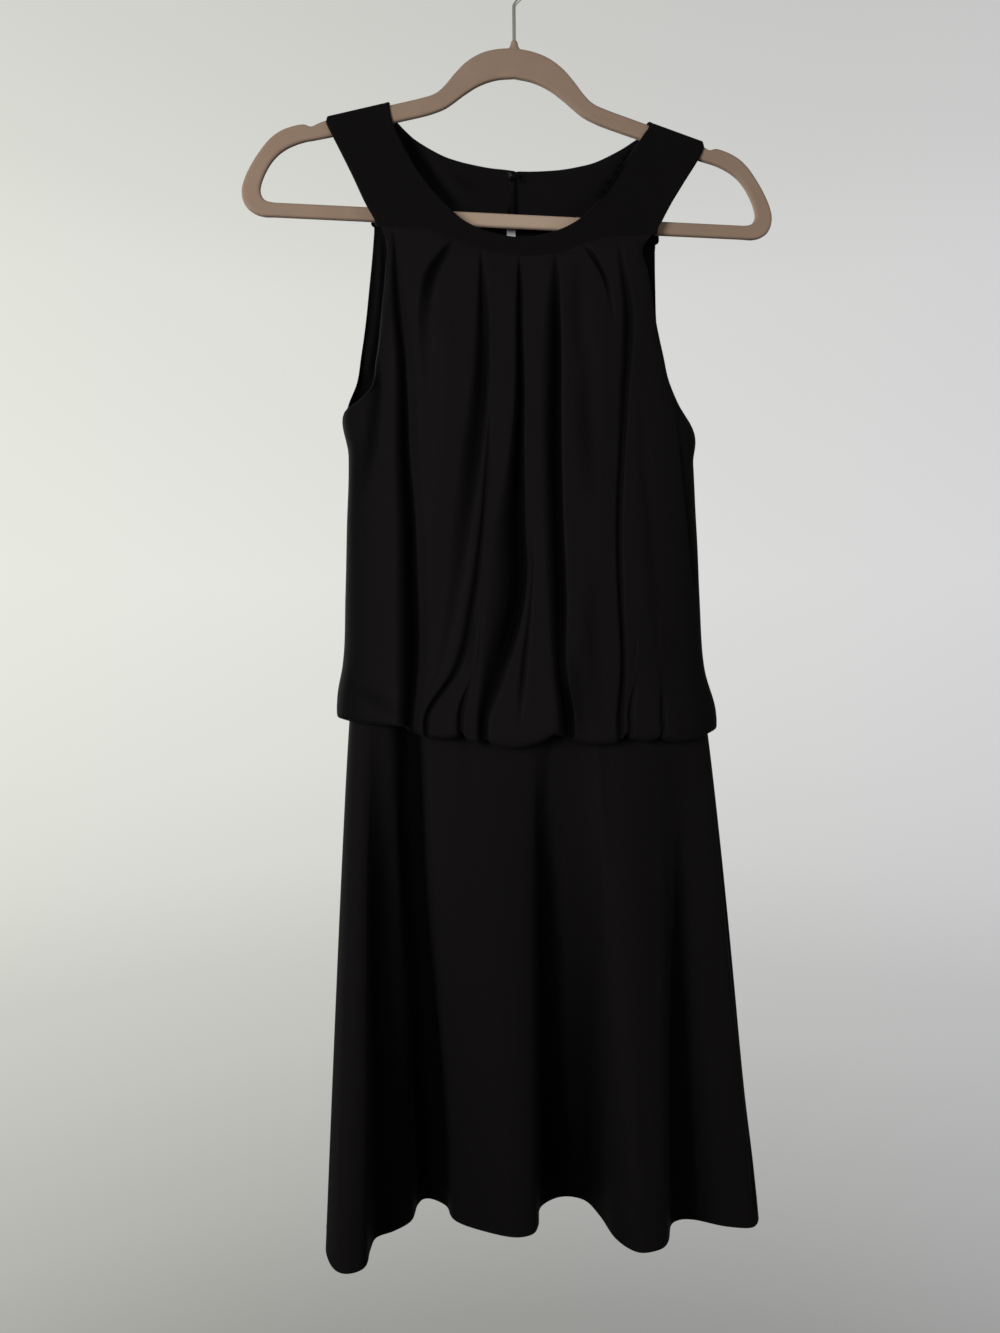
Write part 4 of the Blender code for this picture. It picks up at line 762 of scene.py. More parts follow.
BACK_ROWS = [
    BodiceRow(-116.3, 12.5, -233.3, 122.4, 12.5, -236.8, 16, 1, 0),  # yoke seam
    BodiceRow(-120.1, 13, -268, 123.2, 13, -268, 18.5, 0.6, 0),  # armhole 1
    BodiceRow(-123.9, 13, -307, 124.2, 13, -307, 20.5, 0.3, 0),  # armhole 2
    BodiceRow(-128.4, 11, -340, 128.5, 11, -342, 22, 0.15, 0),  # armhole 3
    BodiceRow(-132, 8, -363, 136, 7.5, -369, 23, 0, 0),  # armhole 4
    BodiceRow(-140, 0, -387, 147.5, 0, -393, 24, 0, 0),  # underarm
    BodiceRow(-139.5, 0, -425, 150, 0, -428, 25.5, 0, 0),  # bust
    BodiceRow(-141, 0, -482, 152, 0, -482, 28, 0, 0),  # midriff
    BodiceRow(-142.7, 0, -540, 154.5, 0, -542, 32, 0, 0.1),  # waist
    BodiceRow(-145.6, 0, -594, 158.5, 0, -600, 37, 0, 0.5),  # blouson
]
UNDERARM_Z = -387  # the side seams start here

# x and z of the blouson's lower edge, with its lobes and the notches between them
FRONT_EDGE = [
    (-150, -638.5), (-137.4, -641.2), (-120.4, -642.5), (-101.3, -644.3), (-92.7, -649.5), (-79.8, -653),
    (-64.6, -653.9), (-57.5, -652.6), (-53.8, -649.4), (-51.2, -653.5), (-47.2, -656.8), (-40.6, -657.9),
    (-35, -655.6), (-30, -658.8), (-20, -661.2), (-7.5, -661.9), (5.8, -659.5), (16, -655.4), (21, -652.4),
    (28, -653.5), (37, -656.9), (55.2, -660.4), (71, -660.3), (76.5, -657.6), (82.5, -652.8), (87, -656.4),
    (98.3, -658.9), (107.4, -657.7), (111.9, -654.6), (116.6, -657.7), (128.3, -660.2), (142, -659.3),
    (166, -652.5),
]
BACK_EDGE = [
    (-150, -638.5), (-126, -643.5), (-104, -646.8), (-97, -643.6), (-88, -648), (-66, -651), (-49, -648.4),
    (-30, -653), (-8, -652.6), (8, -648.6), (28, -653.5), (52, -656.4), (67, -652), (84, -656.5),
    (101, -657.8), (109, -653.4), (122, -657.6), (140, -659.6), (166, -652.5),
]

# The blouson's turn: share of the way in from its widest section to the skirt, height over its
# lowest line, share of the way up from there to the waist seam, and share of the folds.
TURN_ROWS = [
    (0.03, 14, 0, 1), (0, 6.5, 0, 0.95), (0.05, 1.8, 0, 0.8), (0.2, 0.2, 0, 0.5), (0.5, 0.3, 0, 0.2),
    (0.8, 1.8, 0, 0.05), (0.92, 2.2, 0.4, 0), (1, 2.2, 1, 0),
]

# Folds from the yoke seam to the blouson's edge. Each has a side that is steep (1 is +X, -1 is -X),
# then rows of height, x, inward depth and the widths of the soft and the steep flank.
FRONT_FOLDS = [
    (1, [  # pleat 1
        (-246, -101, 0.8, 4, 2), (-265, -100.8, 3, 4.5, 2), (-300, -99.5, 5, 5.5, 2.2),
        (-358, -95, 7, 7, 2.8), (-437, -93, 9.5, 11, 3.2), (-503, -89, 12, 15, 4.2),
        (-568, -88.8, 12.5, 16, 4.4), (-622, -91, 11.5, 15, 4.5), (-650, -94, 8.5, 10, 4.5),
    ]),
    (-1, [  # pleat 2
        (-252, -51.5, 0.5, 3, 2.5), (-258, -55.5, 2.5, 3.5, 3.5), (-264, -60, 4.5, 4.5, 5),
        (-271, -64.5, 5.5, 5.5, 6), (-279, -69.5, 6.2, 6, 7), (-291, -73.8, 6, 7, 7),
        (-303, -75.8, 4.6, 7, 7), (-327, -76.4, 2, 6, 7), (-354, -76, 0.8, 5, 6), (-385, -77, 0, 4, 4),
        (-450, -79, 0, 1.5, 1.5), (-600, -82, 0, 1, 1), (-645, -88, 0, 0.7, 0.7),
    ]),
    (1, [  # pleat 3
        (-262, -31, 1, 2.2, 2), (-280, -31.6, 3.5, 3, 4), (-300, -31.3, 5, 4.5, 6),
        (-334, -31.5, 6.6, 7, 8), (-369, -33, 7.2, 9, 7.5), (-400, -36, 7, 11, 7.5),
        (-463, -44.5, 5.2, 12, 7), (-514, -51.5, 3, 9, 6.5), (-558, -59, 1.6, 8, 6), (-600, -69, 0.4, 4, 3),
        (-645, -85.6, 0, 0.7, 0.7),
    ]),
    (1, [  # sweep
        (-262, -21, 0, 2, 2), (-385, -25.5, 0, 3, 2.5), (-430, -28.4, 1.8, 3, 2.2),
        (-469, -31.8, 2.8, 3.5, 2.2), (-503, -35.8, 3.4, 4, 2.4), (-558, -44, 4.2, 6, 2.8),
        (-597, -54.8, 4.6, 6, 3.2), (-623, -64, 4.6, 6, 3.4), (-645, -80.5, 4, 3, 3),
    ]),
    (1, [  # small tuck
        (-262, -16, 0, 1, 1), (-430, -20, 0, 1, 1), (-469, -25.5, 0, 1, 1), (-502, -30.2, 0, 1, 1),
        (-556, -37, 0, 1, 1), (-605, -43.5, 0, 2, 2), (-622, -47, 0.4, 4, 2.5), (-636, -51.5, 3.2, 5, 2.5),
        (-652, -54, 4.2, 4, 2.5),
    ]),
    (1, [  # pleat 4
        (-264, 0.6, 1.2, 2.5, 1.8), (-285, -0.2, 4, 3, 2.3), (-310, -0.7, 6, 4.5, 2.6),
        (-356, -0.8, 8, 5, 2.8), (-399, -1.2, 10, 7.5, 3), (-435, -2.2, 12, 11, 3.4), (-502, -3, 14, 24, 4),
        (-540, -3.8, 13.5, 27, 4.2), (-556, -8.5, 12, 23, 6), (-572, -16.5, 11, 18, 9),
        (-591, -23.5, 9, 13, 11), (-620, -29, 8, 10, 9), (-654, -36.3, 7, 5, 5),
    ]),
    (1, [  # split
        (-264, 8, 0, 1, 1), (-500, 7, 0, 1.5, 1.5), (-540, 5, 0.5, 2, 2), (-556, 2.2, 4.5, 3, 2.2),
        (-580, 0, 4, 5, 2.4), (-610, -3.3, 2.8, 5, 2.4), (-640, -6.6, 1.2, 5, 2.5), (-662, -7, 0, 4, 2.5),
    ]),
    (1, [  # pleat 5
        (-262, 30.2, 1.2, 3, 1.8), (-280, 30.2, 4, 7, 2.3), (-298, 30.4, 6.5, 10, 2.2),
        (-332, 30.3, 9, 13, 2.4), (-398, 29, 10.5, 14, 2.8), (-450, 28.6, 10.5, 14, 3.2),
        (-524, 29.2, 10, 13, 4.4), (-580, 28.6, 8, 10, 5), (-606, 27.4, 7.5, 8, 5), (-635, 31, 9.5, 9, 5),
        (-655, 33, 9.5, 11, 4.5),
    ]),
    (1, [  # pleat 6
        (-248, 50, 0.5, 2, 1.8), (-256, 56.5, 2.8, 2.5, 2.2), (-264, 62.6, 4, 3, 2.6),
        (-277, 69.1, 4, 3, 2.6), (-289, 73.3, 2.8, 3, 2.6), (-301, 75.6, 1, 3, 3), (-318, 75.5, 0, 3, 3),
        (-400, 68, 0, 3, 3), (-645, 62, 0, 3, 3),
    ]),
    (1, [  # pleat 7
        (-258, 84, 0.8, 4, 2.5), (-278, 87, 3.8, 5, 4), (-302, 90.5, 5.2, 7, 4.5), (-330, 90, 5.4, 8, 4.2),
        (-365, 87.2, 5, 8, 3.4), (-397, 85, 4.4, 7, 2.6), (-434, 81.8, 3.8, 5, 2.4),
        (-502, 78, 3.8, 4, 2.4), (-560, 78.7, 4, 4, 2.6), (-614, 79.2, 4.4, 4.5, 2.8),
        (-650, 75.5, 4.4, 5, 3.5),
    ]),
    (-1, [  # edge tuck 1
        (-258, 98, 0, 0.7, 0.7), (-330, 99, 0, 0.7, 0.7), (-600, 91, 0, 1.5, 1.5), (-636, 87, 0.8, 3.5, 3),
        (-655, 83.5, 3.2, 3.5, 3.5),
    ]),
    (1, [  # edge tuck 2
        (-258, 101, 0, 0.7, 0.7), (-600, 113, 0, 3, 3), (-634, 112.5, 0.6, 5, 4), (-655, 112, 3, 4.5, 3.5),
    ]),
]
BACK_FOLDS = [
    (1, [  # back 1
        (-236, 98, 0.5, 8, 5), (-290, 97, 2.5, 12, 8), (-400, 103, 4.2, 15, 9), (-540, 106, 5.5, 14, 9),
        (-620, 107, 6.5, 12, 7), (-650, 108.5, 5.5, 8, 5),
    ]),
    (-1, [  # back 2
        (-236, 54, 0.5, 8, 6), (-300, 53, 2.2, 13, 9), (-430, 57, 5, 15, 10), (-560, 63, 6.5, 14, 9),
        (-650, 67, 6, 9, 6),
    ]),
    (1, [  # back tuck 1
        (-236, 18, 0, 3, 3), (-590, 26, 0, 5, 4), (-625, 29, 1.6, 6, 4), (-650, 31, 3.6, 5, 4),
    ]),
    (1, [  # back 3
        (-236, -44, 0.5, 8, 6), (-330, -46, 3.4, 13, 9), (-470, -48, 5.4, 14, 11), (-590, -48, 6.8, 13, 9),
        (-650, -49.5, 6, 9, 6),
    ]),
    (-1, [  # back tuck 2
        (-236, -66, 0, 3, 3), (-600, -72, 0, 4, 4), (-632, -74, 1.6, 5, 4), (-650, -76, 3.4, 4, 4),
    ]),
    (-1, [  # back 4
        (-236, -92, 0.4, 8, 6), (-330, -90, 2.6, 12, 9), (-470, -96, 4.4, 14, 9), (-590, -99, 5.8, 12, 8),
        (-650, -98, 5.5, 8, 5),
    ]),
]
FOLD_OFFSETS = (-1, -0.85, -0.7, -0.56, -0.42, -0.28, -0.14, 0, 0.14, 0.28, 0.42, 0.56, 0.7, 0.85, 1)
# a fold's depth across its width, the steep flank from 0 to 1
FOLD_PROFILE = [
    (-1, 0), (-0.8, 0.1), (-0.5, 0.44), (-0.22, 0.84), (0, 1), (0.3, 0.9), (0.6, 0.45), (0.85, 0.1), (1, 0),
]
HEIGHT_PASSES = 4
LEAST_COLUMN = 0.1  # least distance between columns
COLUMN_PITCH = 3.0
SIDE_CROWDING = 1.5  # columns stand closer towards the rounded side seams
SEAM_PITCH, ROW_PITCH, BLOUSON_PITCH, TURN_PITCH = 1.5, 4.2, 3.75, 1.5
YOKE_SEAM_RISE, YOKE_SEAM_DEPTH = 0.7, 0.45  # how far the bodice reaches up and in behind the yoke
FRONT_TOP_Z, BACK_TOP_Z = -240.0, -230.0  # heights where the knit's rows start


def spread(values, least):
    """Values in rising order with at least the given step between them."""
    for index in range(1, len(values)):
        values[index] = max(values[index], values[index - 1] + least)
    return values


def fold_blocks(arc, height_at, plan):
    """Places along an arc and inward depths of the columns of each fold, and the arc's run."""
    length = run_length(arc)
    order = np.argsort(arc[:, 0])
    offsets = np.array(FOLD_OFFSETS)
    blocks = []
    for steep_side, rows in plan.folds:
        rows = np.array(rows, float)
        x = rows[0, 1]
        for _ in range(HEIGHT_PASSES):
            x, depth, soft, steep = smooth(-rows[:, 0], rows[:, 1:], -float(height_at(x)))
        middle = np.interp(x, arc[order, 0], length[order])
        towards = offsets * steep_side * plan.heading
        widths = np.where(towards > 0, steep, soft)
        blocks.append((middle + offsets * widths, depth * smooth(*np.transpose(FOLD_PROFILE), towards)))
    return blocks, length


def bodice_row(arc, height_at, plan, between):
    """Places and depths of every column of one row, and the arc's length at each of its points."""
    blocks, length = fold_blocks(arc, height_at, plan)
    places, depths = [], []
    starts = [block[0][0] for block in blocks] + [length[-1]]
    last = 0.0
    for number, count in enumerate(between):
        share = np.linspace(0, 1, count + 2)[1:-1]
        if number == 0:
            share = np.linspace(0, 1, count + 1)[:-1] ** SIDE_CROWDING
        elif number == len(blocks):
            share = 1 - np.linspace(1, 0, count + 1)[1:] ** SIDE_CROWDING
        places.append(last + (starts[number] - last) * share)
        depths.append(np.zeros(len(share)))
        if number < len(blocks):
            places.append(blocks[number][0])
            depths.append(blocks[number][1])
            last = blocks[number][0][-1]
    places = spread(np.concatenate(places), LEAST_COLUMN)
    return places * (length[-1] / places[-1]), np.concatenate(depths), length


def skirt_beneath(skirt, shares, heights):
    """Points on the skirt panel, LAP_GAP proud of it, at shares of its waist and given heights."""
    waist = run_length(skirt[0])
    columns = np.interp(shares, waist / waist[-1], np.arange(len(waist)))
    low = np.clip(columns.astype(int), 0, len(waist) - 2)
    part = (columns - low)[:, None]
    lines = skirt[:, low] * (1 - part) + skirt[:, low + 1] * part
    points = np.empty((len(shares), 2))
    for index, height in enumerate(heights):
        points[index] = along(lines[:, index, :2], -lines[:, index, 2], [-height])[0]
    side = unit(skirt[0, low + 1] - skirt[0, low])
    return points + np.stack([side[:, 1], -side[:, 0]], axis=1) * LAP_GAP


BodicePlan = namedtuple("BodicePlan", "rows seam low widest_y folds heading skirt")


def bodice_arcs(plan):
    """Section arc and height over x of each row, the widest one last."""
    arcs = []
    for row in plan.rows:
        ends = [(row.left_x, row.left_y), (row.right_x, row.right_y)][:: plan.heading]

        def height_at(x, row=row):
            line = straight(x, (row.left_x, row.right_x), (row.left_z, row.right_z))
            return line + row.seam_share * sag(plan.seam, x) + row.low_share * sag(plan.low, x)

        arcs.append((section_arc(*ends, row.crown_y), height_at))
    ends = [(BLOUSON_LEFT, 0), (BLOUSON_RIGHT, 0)][:: plan.heading]
    arcs.append((section_arc(*ends, plan.widest_y), lambda x: smooth(*np.transpose(plan.low), x)))
    return arcs


def columns_between(arcs, plan):
    """How many columns go between each two folds, from the widest gap of any row."""
    widest = np.zeros(len(plan.folds) + 1)
    for arc, height_at in arcs:
        blocks, length = fold_blocks(arc, height_at, plan)
        starts = np.array([block[0][0] for block in blocks] + [length[-1]])
        ends = np.array([0.0] + [block[0][-1] for block in blocks])
        widest = np.maximum(widest, starts - ends)
    return np.maximum(1, np.round(widest / COLUMN_PITCH)).astype(int)


def bodice_grid(plan, seam):
    """Fine grid of the front or the whole back, its first row tucked behind the yoke's seam edge."""
    arcs = bodice_arcs(plan)
    between = columns_between(arcs, plan)
    rows = []
    for arc, height_at in arcs:
        places, depths, length = bodice_row(arc, height_at, plan, between)
        line, outward = along(arc, length, places), outward_at(arc, length, places)
        flat = line - outward * depths[:, None]
        rows.append(np.column_stack([flat, height_at(flat[:, 0])]))
    tuck_under(rows[0], seam)
    # the turn takes the place of the widest row
    lowest, rows = height_at(line[:, 0]), rows[:-1]
    for inwards, rise, climb, fold_share in TURN_ROWS:
        z = lowest + rise
        z += (WAIST_Z - LAP_DEPTH - z) * climb
        flat = line + (skirt_beneath(plan.skirt, places / length[-1], z) - line) * inwards
        rows.append(np.column_stack([flat - outward * (depths * fold_share)[:, None], z]))
    pitches = [SEAM_PITCH] + [ROW_PITCH] * (len(plan.rows) - 2) + [BLOUSON_PITCH]
    return refine(np.array(rows), pitches + [TURN_PITCH] * (len(TURN_ROWS) - 1))


def tuck_under(row, seam):
    """Moves a bodice's first row just behind the yoke's seam edge."""
    order = np.argsort(seam[:, 0])
    inwards = 1 if seam[:, 1].mean() < 0 else -1
    row[:, 0] = np.clip(row[:, 0], seam[order[0], 0], seam[order[-1], 0])
    row[:, 1:] = along(seam[order, 1:], seam[order, 0], row[:, 0])
    row[:, 1:] += (inwards * YOKE_SEAM_DEPTH, YOKE_SEAM_RISE)


def below_underarm(grid):
    """Rows from the underarm down, where the side seam runs."""
    return np.arange(len(grid)) >= np.argmax(grid[:, 0, 2] <= UNDERARM_Z + 0.01)


def make_front_bodice():
    skirt = skirt_panels()["front"][0]
    yoke, _, on_seam = front_yoke_grid()
    plan = BodicePlan(FRONT_ROWS, FRONT_SEAM, FRONT_EDGE, BLOUSON_FRONT, FRONT_FOLDS, 1, skirt)
    grid = pressed(bodice_grid(plan, yoke[-1, on_seam]), FRONT_CREASES)
    below = below_underarm(grid)
    for edge in (0, -1):
        grid[below, edge, 1] -= SEAM_GAP / 2
    return cloth_shell("bodice_front", grid, BODICE_WALL, "black jersey", FRONT_TOP_Z, DARK_INSIDE)


def make_back_bodices():
    """Both halves of the back, split at the centre-back seam."""
    skirt = skirt_panels()["back"][0]
    yokes = [back_yoke_grid(side) for side in SIDES]
    seam = np.concatenate([yoke[-1, on_seam] for yoke, _, on_seam in yokes])
    plan = BodicePlan(BACK_ROWS, BACK_SEAM, BACK_EDGE, BLOUSON_BACK, BACK_FOLDS, -1, skirt)
    grid = pressed(bodice_grid(plan, seam), BACK_CREASES)
    fall = (grid[0, :, 2].max() - grid[:, :, 2]) / (grid[0, :, 2].max() - WAIST_Z)
    centre = CENTRE_BACK_X + (CENTRE_WAIST_X - CENTRE_BACK_X) * np.clip(fall, 0, 1)
    split = int(np.argmin(np.abs(grid[:, :, 0] - centre).mean(axis=0)))
    right, left = grid[:, split - 1], grid[:, split + 1]
    share = ((right[:, 0] - centre[:, split]) / (right[:, 0] - left[:, 0]))[:, None]
    middle = (right + (left - right) * share)[:, None]
    below = below_underarm(grid)
    pieces = {}
    for side, columns in ((1, slice(0, split)), (-1, slice(split + 1, None))):
        half = np.concatenate([grid[:, columns], middle][::side], axis=1)
        seam_column, side_column = (-1, 0)[::side]
        half[:, seam_column, 0] += side * SEAM_GAP / 2
        half[below, side_column, 1] += SEAM_GAP / 2
        name = f"bodice_back_{SIDES[side]}"
        pieces[side] = cloth_shell(name, half, BODICE_WALL, "black jersey", BACK_TOP_Z, DARK_INSIDE)
    return pieces


# Hook, eye and size tab

# The hook and eye are on the inner side of the back neck edge. Each is one wire: a sewing ring at
# each end and, between them, a run of points by their offsets from the closure's middle: across,
# inwards from the cloth's inner face towards the front, and up.
NOTION_WIRE, NOTION_SIDES, NOTION_STEPS = 0.45, 12, 4
HOOK_EYE_Z = -185.8
CENTRE_NECK_Y, CENTRE_NECK_Z = 12.7, -180.9  # the back neck edge at the slit
CENTRE_LEAN = 0.067  # the back leans out this much for each mm down
RING_RADIUS, RING_INWARDS = 1.3, 0.8
RING_ANGLES = range(200, 520, 40)
HOOK_RINGS, EYE_RINGS = (-6.0, 1.9), (6.5, 2.6)  # across, and up or down from the middle
HOOK_RUN = [
    (-3.8, 1.4, -0.9), (-1.6, 3.6, -0.7), (1.6, 3.6, -0.6), (2.5, 3.1, 0), (1.6, 3.6, 0.6),
    (-1.6, 3.6, 0.7), (-3.8, 1.4, 0.9),
]
EYE_RUN = [(3.2, 1.2, -2.3), (0.6, 2.3, -1.9), (-0.4, 2.3, 0), (0.6, 2.3, 1.9), (3.2, 1.2, 2.3)]
GLINT_X, GLINT_Z, GLINT_RADIUS = -3.4, -184.0, 1.9  # where a painted glint lies on the hook's wire
GLINT_CORE = 1.6  # above 1 the painted glint is at full strength round its middle
TabSizes = namedtuple("TabSizes", "left right top_z low_z top_y lean wall curl rows columns")
TAB = TabSizes(-5.2, 1.6, -226.4, -243.0, 14.2, 0.05, 0.8, 0.5, 22, 12)


def notion_path(rings, run):
    """Path of a hook's or an eye's wire: low ring, run and high ring."""
    across, apart = rings
    heading = 1 if across < 0 else -1
    cloth_y = CENTRE_NECK_Y - YOKE_WALL + (CENTRE_NECK_Z - HOOK_EYE_Z) * CENTRE_LEAN
    low, high = [], []
    for angle in np.radians(RING_ANGLES):
        x = CENTRE_BACK_X + across + heading * RING_RADIUS * math.cos(angle)
        rise = apart - RING_RADIUS * math.sin(angle)
        low.append((x, cloth_y - RING_INWARDS, HOOK_EYE_Z - rise))
        high.append((x, cloth_y - RING_INWARDS, HOOK_EYE_Z + rise))
    middle = [(CENTRE_BACK_X + across, cloth_y - inwards, HOOK_EYE_Z + up) for across, inwards, up in run]
    return low + middle + high[::-1]


def make_notion(name, rings, run):
    """A hook or an eye of blackened wire, with a painted glint in one place."""
    path = rounded(notion_path(rings, run), NOTION_STEPS)
    piece = tube(name, path, NOTION_WIRE, NOTION_SIDES, "blackened wire")
    points = np.empty(len(piece.data.vertices) * 3)
    piece.data.vertices.foreach_get("co", points)
    points = points.reshape(-1, 3) / MM
    # painted glint, stored as the shade attribute
    off = np.hypot(points[:, 0] - GLINT_X, points[:, 2] - GLINT_Z)
    give_shade(piece.data, GLINT_CORE - off / GLINT_RADIUS)
    return piece


def make_size_tab():
    """A bare woven tab, its cut ends caught in the yoke seam."""
    share = np.linspace(0, 1, TAB.rows)[:, None]
    part = np.linspace(0, 1, TAB.columns)
    z = TAB.top_z + (TAB.low_z - TAB.top_z) * share
    x = TAB.right + (TAB.left - TAB.right) * part
    y = TAB.top_y - TAB.lean * (TAB.top_z - z) - TAB.curl * (2 * part - 1) ** 2 * share
    grid = np.dstack(np.broadcast_arrays(x, y, z, 0.0))
    return cloth_shell("bare_size_tab", grid, TAB.wall, "white tape", TAB.top_z)


# Materials

GLINT_SHARE = 0.13  # of the bright wire's colour, painted as a glint on the hook's blackened wire
# share of the way from straight down to straight up, and the backdrop's brightness there
BACKDROP_GLOW = [
    (0, 0.3), (0.146, 0.434), (0.208, 0.564), (0.293, 0.7), (0.331, 0.75), (0.387, 0.876), (0.444, 0.94),
    (0.55, 1), (0.706, 0.94), (0.752, 0.87), (0.82, 0.8), (1, 0.66),
]
FLOAT = "NodeSocketFloat"


def new_material(name):
    """A material's nodes and its shader."""
    made = bpy.data.materials.new(name)
    made.use_nodes = True
    return made.node_tree, made.node_tree.nodes["Principled BSDF"]


def feed(tree, made, inputs):
    """Gives a node its inputs, as numbers or as other nodes' outputs."""
    for key, value in inputs.items():
        if isinstance(value, bpy.types.NodeSocket):
            tree.links.new(value, made.inputs[key])
        else:
            made.inputs[key].default_value = value
    return made


def node(tree, kind, inputs=(), **settings):
    made = tree.nodes.new(kind)
    for key, value in settings.items():
        setattr(made, key, value)
    return feed(tree, made, dict(inputs))


def maths(tree, operation, *values):
    return node(tree, "ShaderNodeMath", dict(enumerate(values)), operation=operation).outputs[0]


def noise(tree, place, scale, detail, roughness=0.5):
    inputs = {"Vector": place, "Scale": scale, "Detail": detail, "Roughness": roughness}
    return node(tree, "ShaderNodeTexNoise", inputs).outputs[0]


def group(name, inputs, outputs):
    """An empty shader group with named sockets; returns its tree, inputs and output node."""
    tree = bpy.data.node_groups.new(name, "ShaderNodeTree")
    tree.interface.new_socket("Place", in_out="INPUT", socket_type="NodeSocketVector")
    for label, value in inputs.items():
        tree.interface.new_socket(label, in_out="INPUT", socket_type=FLOAT).default_value = value
    for label in outputs:
        tree.interface.new_socket(label, in_out="OUTPUT", socket_type=FLOAT)
    return tree, tree.nodes.new("NodeGroupInput").outputs, tree.nodes.new("NodeGroupOutput")


def knit_group():
    """Rows of knit loops, as a height and a mask of the gaps between the ribs."""
    sizes = {"Rib width": 0.0007, "Loop height": 0.0009}
    tree, given, result = group("knit loops", sizes, ["Height", "Gap"])
    parts = node(tree, "ShaderNodeSeparateXYZ", {0: given["Place"]}).outputs
    rib = maths(tree, "DIVIDE", parts[0], given["Rib width"])
    rib_wave = maths(tree, "ABSOLUTE", maths(tree, "SINE", maths(tree, "MULTIPLY", rib, math.pi)))
    rise = maths(tree, "MULTIPLY_ADD", rib_wave, 0.8, maths(tree, "DIVIDE", parts[1], given["Loop height"]))
    loop_wave = maths(tree, "SINE", maths(tree, "MULTIPLY", rise, 2 * math.pi))
    height = maths(tree, "MULTIPLY_ADD", loop_wave, 0.25, rib_wave)
    feed(tree, result, {"Height": height, "Gap": maths(tree, "SUBTRACT", 1.0, rib_wave)})


def fluff_group():
    """Fine uneven fibres over a surface, and wider uneven tone, both from 0 to 1."""
    scales = {"Fibre scale": 900.0, "Tone scale": 14.0}
    tree, given, result = group("fluff and tone", scales, ["Fibre", "Tone"])
    fibre = noise(tree, given["Place"], given["Fibre scale"], 4.0, 0.65)
    feed(tree, result, {"Fibre": fibre, "Tone": noise(tree, given["Place"], given["Tone scale"], 3.0)})


def placed(tree, which, place, **inputs):
    """Outputs of a shared group, with its inputs given by their names."""
    named = {key.replace("_", " "): value for key, value in inputs.items()}
    shared = bpy.data.node_groups[which]
    return node(tree, "ShaderNodeGroup", {"Place": place} | named, node_tree=shared).outputs


def cloth_place(tree):
    return node(tree, "ShaderNodeUVMap", uv_map="cloth").outputs[0]


def object_place(tree):
    return node(tree, "ShaderNodeTexCoord").outputs["Object"]


def shade_of(tree):
    return node(tree, "ShaderNodeAttribute", attribute_name="shade").outputs["Fac"]


def darker(colour, share):
    return tuple(share * part for part in colour)


def blend(tree, share, low, high):
    """Colour between two colours."""
    low, high = (part if isinstance(part, bpy.types.NodeSocket) else (*part, 1.0) for part in (low, high))
    return node(tree, "ShaderNodeMix", {0: share, 6: low, 7: high}, data_type="RGBA").outputs[2]


def shifted(tree, value, centre, amount):
    """A 0 to 1 value turned into a change round centre."""
    return maths(tree, "MULTIPLY_ADD", value, 2 * amount, centre - amount)


def bump(tree, height, strength, distance):
    inputs = {"Height": height, "Strength": strength, "Distance": distance}
    return node(tree, "ShaderNodeBump", inputs).outputs[0]


def make_jersey(colours):
    tree, shader = new_material("black jersey")
    place = cloth_place(tree)
    knit = placed(tree, "knit loops", place)
    fluff = placed(tree, "fluff and tone", place, Fibre_scale=1400.0, Tone_scale=9.0)
    streaks = node(tree, "ShaderNodeMapping", {"Vector": place, "Scale": (1.0, 0.035, 1.0)}).outputs[0]
    wide = maths(tree, "MULTIPLY", fluff["Tone"], 0.45)
    tone = maths(tree, "MULTIPLY_ADD", noise(tree, streaks, 260.0, 3.0, 0.6), 0.55, wide)
    crest = blend(tree, tone, darker(colours.jersey_crest, 0.72), colours.jersey_crest)
    # painted shade between the knit's ribs
    crest = blend(tree, maths(tree, "MULTIPLY", knit["Gap"], 0.35), crest, colours.jersey_painted_shade)
    height = maths(tree, "MULTIPLY_ADD", fluff["Fibre"], 0.5, knit["Height"])
    inputs = {
        # painted shade from the shade attribute
        "Base Color": blend(tree, shade_of(tree), crest, colours.jersey_painted_shade),
        "Roughness": shifted(tree, fluff["Fibre"], 0.66, 0.06),
        "Normal": bump(tree, height, 0.35, 0.00012),
        "Specular IOR Level": 0.012,
        "Sheen Weight": 0.008,
        "Sheen Roughness": 0.45,
    }
    feed(tree, shader, inputs)


def make_flock(colours):
    tree, shader = new_material("taupe flock")
    fluff = placed(tree, "fluff and tone", object_place(tree), Fibre_scale=1900.0, Tone_scale=38.0)
    fibre = blend(tree, fluff["Fibre"], darker(colours.flock, 0.8), darker(colours.flock, 1.14))
    toned = blend(tree, maths(tree, "MULTIPLY", fluff["Tone"], 0.3), fibre, colours.flock_worn_and_lit)
    inputs = {
        # painted highlight round the bar's middle, where the shade attribute is high
        "Base Color": blend(tree, shade_of(tree), toned, colours.flock_worn_and_lit),
        "Roughness": shifted(tree, fluff["Fibre"], 0.85, 0.08),
        "Normal": bump(tree, fluff["Fibre"], 0.45, 0.0003),
        "Specular IOR Level": 0.25,
        "Sheen Weight": 0.12,
        "Sheen Roughness": 0.4,
    }
    feed(tree, shader, inputs)


def make_wire(name, colour, glint_colour, roughness, metal):
    """Round wire, with another colour painted where its shade attribute is high: a painted glint."""
    tree, shader = new_material(name)
    fluff = placed(tree, "fluff and tone", object_place(tree), Fibre_scale=2600.0, Tone_scale=120.0)
    toned = blend(tree, fluff["Tone"], darker(colour, 0.8), colour)
    inputs = {
        "Base Color": blend(tree, shade_of(tree), toned, glint_colour),
        "Roughness": shifted(tree, fluff["Fibre"], roughness, 0.08),
        "Normal": bump(tree, fluff["Fibre"], 0.15, 0.00004),
        "Metallic": metal,
        "Specular IOR Level": metal * 0.5,
    }
    feed(tree, shader, inputs)


def make_wires(colours):
    make_wire("bright wire", colours.wire, colours.wire, 0.3, 1.0)
    make_wire("blackened wire", colours.notion, darker(colours.wire, GLINT_SHARE), 0.5, 0.0)


